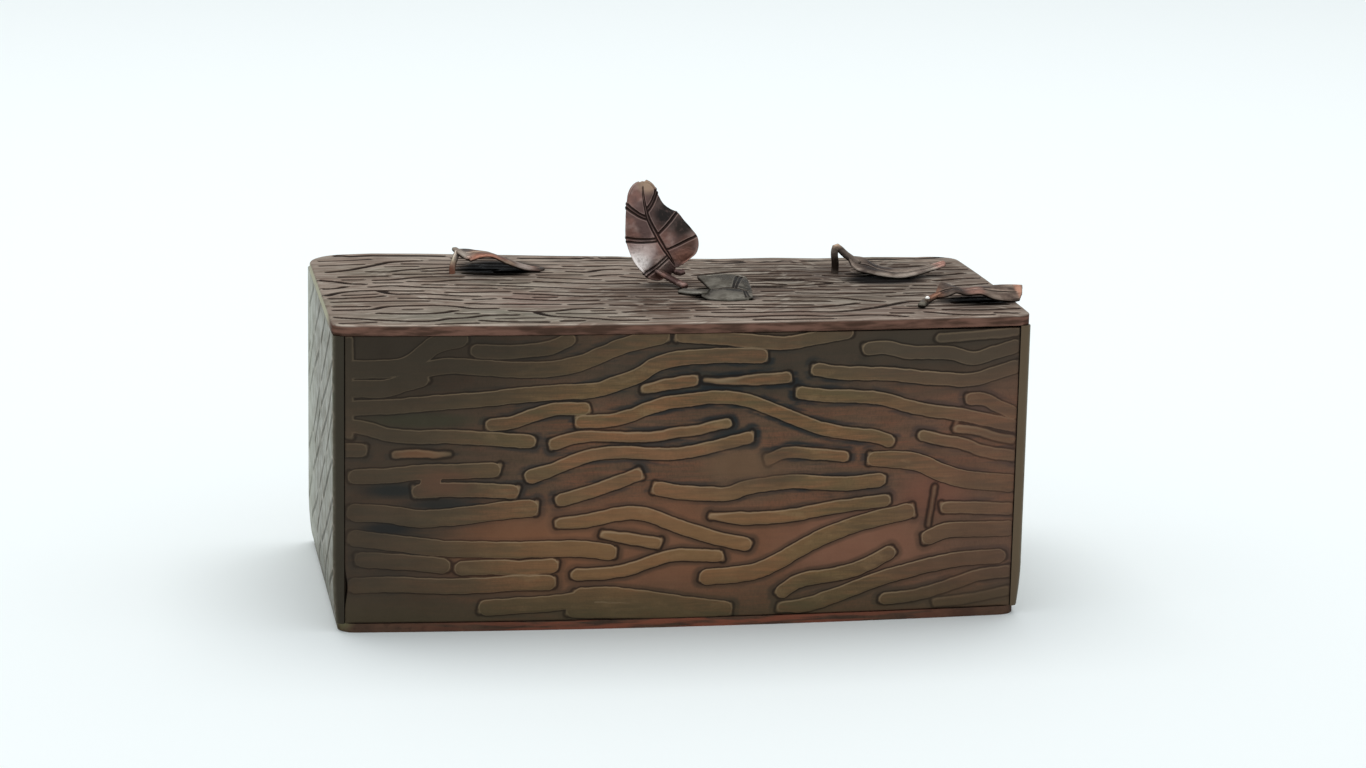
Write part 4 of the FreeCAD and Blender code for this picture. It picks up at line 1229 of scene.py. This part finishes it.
def folded_copper(name, light, warm, dark, seed, marks=(), underside_shade=0.85):
    """Annealed copper sheet, folded by hand: heat colours in soft patches, rubbed lighter in places
    and dark in its creases, with painted shade by a share on the faces that turn downwards. Marks are
    places, reaches, shares and colours of patches of their own."""
    material, tree, shader, place = new_finish(name, 0.75, "#7E7672")
    inside = add(tree, "ShaderNodeAttribute", attribute_name="inside").outputs["Fac"]
    in_crease = add(tree, "ShaderNodeMapRange", {"Value": inside, "From Min": -0.09, "From Max": 0.01},
                    interpolation_type="SMOOTHSTEP")
    normal = add(tree, "ShaderNodeNewGeometry").outputs["Normal"]
    upward = add(tree, "ShaderNodeSeparateXYZ", {0: normal}).outputs["Z"]
    # Painted shade on the faces that turn downwards
    under = add(tree, "ShaderNodeMapRange",
                {"Value": upward, "From Min": -0.35, "From Max": 0.0, "To Min": 1.0, "To Max": 0.0})
    colour = layered(tree, warm, [
        (patches(tree, place, 3.0, 0.45, 0.6, seed=seed), light),
        (patches(tree, place, 4.5, 0.5, 0.64, seed=seed + 1), dark)] + placed(tree, place, marks) + [
        (times(tree, patches(tree, place, 0.6, 0.5, 0.8, seed=seed + 2), 0.5), dark),
        (times(tree, band(tree, inside, -0.4, -0.16, -0.06), 0.6), light),
        (times(tree, in_crease, 0.9), "#231B18"),
        (times(tree, under, underside_shade), "#261F1B")])
    feed(tree, shader, {"Base Color": colour})
    roughened(tree, shader, place, 0.4, 0.02, 0.32, 0.46)
    return material


def edge_copper(name, streak):
    """Plain patinated copper sheet. Its front edge may be rubbed bare in a long red streak."""
    material, tree, shader, place = new_finish(name, 0.75, "#8E8A80")
    colour = layered(tree, "#5A4438", [
        (patches(tree, place, 5.0, 0.4, 0.65, seed=1.0), "#4A3A31"),
        (times(tree, patches(tree, place, 0.8, 0.5, 0.75, seed=2.0), 0.5), "#3A2F28")])
    if streak:
        bare = times(tree, patches(tree, place, (9.0, 9.0, 0.8), 0.42, 0.56, seed=3.0),
                     zone(tree, place, (1.5, -28, 0.9), (52, 12, 3)))
        colour = layered(tree, colour, [(times(tree, bare, 0.85), "#87503F"),
                                        (zone(tree, place, (-50, -26, 3), (3, 0, 4)), "#6E6B4E")])
    feed(tree, shader, {"Base Color": colour})
    roughened(tree, shader, place, 0.4, 0.02, 0.35, 0.5)
    return material


def new_solder(name):
    """Soft solder, run and left bright: a smooth, pale grey bead."""
    material, tree, shader, place = new_finish(name, 1.0, "#FFFFFF")
    dull = patches(tree, place, 0.8, 0.4, 0.7, seed=1.0)
    feed(tree, shader, {"Base Color": layered(tree, "#D8D6D0", [(dull, "#A8A49C")])})
    roughened(tree, shader, place, 0.4, 0.01, 0.15, 0.3)
    return material


front_finish = etched_copper("etched_patinated_copper_front", FRONT_GROUND, FRONT_STROKE_TOPS)
back_finish = etched_copper("etched_patinated_copper_back")
end_finish = tooled_copper("tooled_patinated_copper_ends", "#5E5749", None, row_share=0.25, shine_share=0.1,
                           groove_share=0.4)
lid_finish = tooled_copper("tooled_patinated_copper_lid", "#998B80", "#76574B", [
    ((-1.5, -15, 45), (9, 14, 0), 0.75, "#5C473D"),
    ((-28.0, -20, 45), (28, 8, 0), 0.6, "#76786C"),
    ((-20.0, -10, 45), (10, 9, 0), 0.5, "#7C5F58"),
    ((-6.0, -7, 45), (17, 13, 0), 0.55, "#51433B"),
    ((28.0, -20, 45), (28, 9, 0), 0.5, "#6C5850"),
    ((26.0, 4, 45), (36, 30, 0), 0.65, "#483C35"),
    ((36.0, 12, 45), (22, 12, 0), 0.6, "#3E342E"),
    ((-24.0, 8, 45), (11, 8, 0), 0.6, "#51463F"),
    # Painted shadow at the foot of the upright leaf and its stem
    ((2.0, 0, 45), (8, 5, 0), 0.8, "#3A302A"),
    ((44.0, -18.5, 45), (10, 5, 0), 0.7, "#453832")], [
    # Painted shadows of the four lying leaves on the lid, near black
    ((-22.5, 14.8, 45), (8.5, 7.5, 0), 1.0, "#0D0B0A"),
    ((8.2, -9.6, 45), (6.5, 3.2, 0), 0.95, "#12100E"),
    ((35.0, 3.8, 45), (8.0, 5.2, 0), 1.0, "#141110"),
    ((46.6, -14.2, 45), (7.5, 4.6, 0), 1.0, "#100D0C")])
base_finish = edge_copper("plain_copper_base", True)
rim_finish = edge_copper("plain_copper_strip", False)
upright_finish = folded_copper("folded_copper_pink", "#A1877F", "#8A685F", "#67524E", 1.0, [
    # The first two marks, pale pink and near white at the lower left, are a painted highlight
    ((-2.4, 3, 49.6), (3.2, 0, 2.4), 1, "#C6B2AC"),
    ((-3.0, 3, 47.8), (2.8, 0, 2.4), 1, "#FFF6F1"),
    ((0.6, 3, 48.0), (1.8, 0, 1.7), 1, "#A8948B"),
    ((-0.2, 3, 57.9), (1.7, 0, 1.8), 1, "#4C3E3A"),
    ((1.4, 3, 55.2), (4.0, 0, 3.6), 1, "#2C2827"),
    ((4.2, 3, 53.2), (3.2, 0, 2.4), 1, "#322C29"),
    ((4.9, 3, 50.8), (2.6, 0, 1.6), 1, "#5C443B"),
    ((4.2, 3, 48.9), (2.8, 0, 1.6), 1, "#A87B6C"),
    ((-1.4, 3, 59.8), (2.2, 0, 2.0), 1, "#AE937D")], 0.25)
grey_finish = folded_copper("folded_copper_grey", "#77736B", "#5C5850", "#423F39", 4.0)
brown_finish = folded_copper("folded_copper_brown", "#A08B7A", "#87675A", "#65534A", 8.0, [
    ((-30.4, 12, 48.3), (1.8, 0, 2.4), 1, "#7F7D6B"),
    ((-30.3, 10, 45.4), (1.6, 0, 2.0), 1, "#694638"),
    ((-28.4, 12, 47.8), (2.0, 0, 1.3), 1, "#B0A59A"),
    ((-27.4, 15, 48.3), (1.4, 3, 1.2), 1, "#57504C"),
    ((-25.2, 9, 47.8), (3.8, 2.6, 1.0), 1, "#B5806C"),
    ((-18.5, 12, 46.2), (3.0, 0, 1.0), 1, "#A89A92"),
    ((-16.0, 12, 45.6), (1.6, 0, 0.8), 1, "#4A4440")])
violet_finish = folded_copper("folded_copper_violet", "#8E8379", "#74685F", "#564C46", 12.0, [
    ((29.0, 9, 49.3), (1.6, 0, 1.2), 1, "#B09884"),
    ((28.8, 9, 46.0), (1.3, 0, 2.3), 1, "#2E2620"),
    ((33.0, 12, 48.0), (1.8, 0, 0.9), 1, "#A0958A"),
    ((34.0, 6, 46.0), (3.4, 0, 0.7), 1, "#443B36"),
    ((44.8, 6, 47.0), (2.6, 0, 1.4), 1, "#AD8478"),
    ((40.0, 7, 46.2), (2.2, 0, 0.7), 1, "#B0A398")])
spotted_finish = folded_copper("folded_copper_spotted", "#84766B", "#675950", "#473C36", 16.0, [
    ((35.8, -17, 45.6), (2.6, 0, 1.6), 1, "#6F6A5F"),
    ((38.2, -14, 46.4), (2.3, 0, 1.3), 1, "#82604F"),
    ((44.7, -12, 47.0), (2.4, 0, 0.8), 1, "#97766A"),
    ((51.7, -14, 46.7), (0.8, 0, 1.6), 1, "#94705F")])
solder_finish = new_solder("bright_soft_solder")

# What runs over the end walls, which have no drawn lines of their own
end_low, end_high = (-half_depth + 1.2, wall_bottom + 0.6), (half_depth - 1.2, wall_top - 0.4)
left_lines = filled([], end_low, end_high, half_width=0.3, spacing=5.2, clear=2.6, slope=-0.6, longest=24,
                    seed=31)
right_lines = filled([], end_low, end_high, half_width=0.3, spacing=4.6, clear=2.2, slope=-0.35, longest=24,
                     seed=32)

# Each piece with the solid it stands in for
pieces = {
    "front_wall": front_wall(front_finish),
    "back_wall": back_wall(back_finish),
    "left_wall": end_wall(-1, "left_plate", left_lines, end_finish, 4.0),
    "right_wall": end_wall(1, "right_plate", right_lines, end_finish, 5.0),
    "lid_plate": lid(lid_finish),
    "leaf_upright": leaf("upright_leaf", upright_finish, **UPRIGHT_LEAF),
    "leaf_left": leaf("left_leaf", brown_finish, **LEFT_LEAF),
    "leaf_centre": leaf("centre_leaf", grey_finish, **CENTRE_LEAF),
    "leaf_back_right": leaf("back_right_leaf", violet_finish, **BACK_RIGHT_LEAF),
    "leaf_front_right": leaf("front_right_leaf", spotted_finish, **FRONT_RIGHT_LEAF),
}

bead_shape = bmesh.new()
bmesh.ops.create_uvsphere(bead_shape, u_segments=20, v_segments=12, radius=1.0)
bead_place = sagged(spread(SOLDER_BEAD, FRONT_RIGHT_LEAF["place"], FRONT_RIGHT_LEAF["size"]))
for vertex in bead_shape.verts:
    vertex.co = Vector((bead_place + np.array(vertex.co) * np.array(SOLDER_BEAD_RADII)) * MM)
bead_mesh = bpy.data.meshes.new("solder_bead")
bead_shape.to_mesh(bead_mesh)
bead_shape.free()
bead_mesh.polygons.foreach_set("use_smooth", [True] * len(bead_mesh.polygons))
bead_mesh.materials.append(solder_finish)
solder_bead = shown("solder_bead", bead_mesh)
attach(solder_bead, "lid")

for node, piece in pieces.items():
    on_lid = node.startswith(("lid", "leaf"))
    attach(piece, "lid" if on_lid else "box")
    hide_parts(node)

for node in ("base_plate", "lid_rim_front", "lid_rim_back", "lid_rim_left", "lid_rim_right"):
    finish = base_finish if node == "base_plate" else rim_finish
    kept = bpy.data.objects[node]
    kept.data.materials.clear()
    kept.data.materials.append(finish)


def camera_frame():
    """The camera's axes and place from its angles and distance."""
    azimuth, elevation = math.radians(CAMERA_AZIMUTH), math.radians(CAMERA_ELEVATION)
    roll = math.radians(CAMERA_ROLL)
    back = Vector((math.sin(azimuth) * math.cos(elevation), -math.cos(azimuth) * math.cos(elevation),
                   math.sin(elevation)))
    level_right = (-back).cross(Vector((0, 0, 1))).normalized()
    level_up = level_right.cross(-back)
    right = level_right * math.cos(roll) + level_up * math.sin(roll)
    up = level_up * math.cos(roll) - level_right * math.sin(roll)
    place = Vector((0, 0, CAMERA_TARGET_HEIGHT * MM)) + back * CAMERA_DISTANCE * MM
    matrix = Matrix((right, up, back)).transposed().to_4x4()
    matrix.translation = place
    return matrix


camera_data = bpy.data.cameras.new("camera")
camera_data.sensor_width = SENSOR_WIDTH
camera_data.lens = FOCAL_PX / PHOTO_WIDTH_PX * SENSOR_WIDTH
camera_data.shift_x = SHIFT_RIGHT_PX / PHOTO_WIDTH_PX
camera_data.shift_y = SHIFT_UP_PX / PHOTO_WIDTH_PX
camera_data.clip_start = 0.05
camera_data.clip_end = 20
camera = shown("camera", camera_data)
camera.matrix_world = camera_frame()
bpy.context.scene.camera = camera

# A wide pale table top; its edge never comes into the view
FLOOR_HALF = 4.0
floor_mesh = bpy.data.meshes.new("floor")
floor_corners = [(x * FLOOR_HALF, y * FLOOR_HALF, 0) for x, y in ((-1, -1), (1, -1), (1, 1), (-1, 1))]
floor_mesh.from_pydata(floor_corners, [], [(0, 1, 2, 3)])
floor = shown("floor", floor_mesh)
floor_finish, floor_tree, floor_shader, _ = new_finish("pale_paper_floor", 0.0, "#FFFFFF")
feed(floor_tree, floor_shader,
     {"Base Color": linear("#F3F8F8"), "Roughness": 0.9, "Specular IOR Level": 0.1})
floor_mesh.materials.append(floor_finish)

# Pale room: shown as it is to the eye and in the metal, and a little dimmer as light
ROOM_LIGHT = 0.76
LAMP_POWER = 5.0
world = bpy.data.worlds.new("pale_room")
world.use_nodes = True
world.node_tree.nodes.clear()
paths = add(world.node_tree, "ShaderNodeLightPath").outputs
seen = paths["Is Camera Ray"]
for other_ray in ("Is Glossy Ray", "Is Transmission Ray"):
    seen = add(world.node_tree, "ShaderNodeMath", {0: seen, 1: paths[other_ray]}, operation="MAXIMUM")
strength = add(world.node_tree, "ShaderNodeMapRange", {"Value": seen, "To Min": ROOM_LIGHT, "To Max": 1.0})
room = add(world.node_tree, "ShaderNodeBackground", {"Color": linear("#F5F9FB"), "Strength": strength})
add(world.node_tree, "ShaderNodeOutputWorld", {"Surface": room})
bpy.context.scene.world = world

# A soft lamp overhead, a little behind the box and turned to it
lamp_data = bpy.data.lights.new("overhead_softbox", "AREA")
lamp_data.shape = "RECTANGLE"
lamp_data.size, lamp_data.size_y = 1.0, 0.7
lamp_data.energy = LAMP_POWER
lamp = shown("overhead_softbox", lamp_data)
lamp.location = (0.0, 0.25, 1.0)
lamp.rotation_euler = Vector(lamp.location).to_track_quat("Z", "Y").to_euler()

bpy.context.scene.view_settings.view_transform = "Standard"
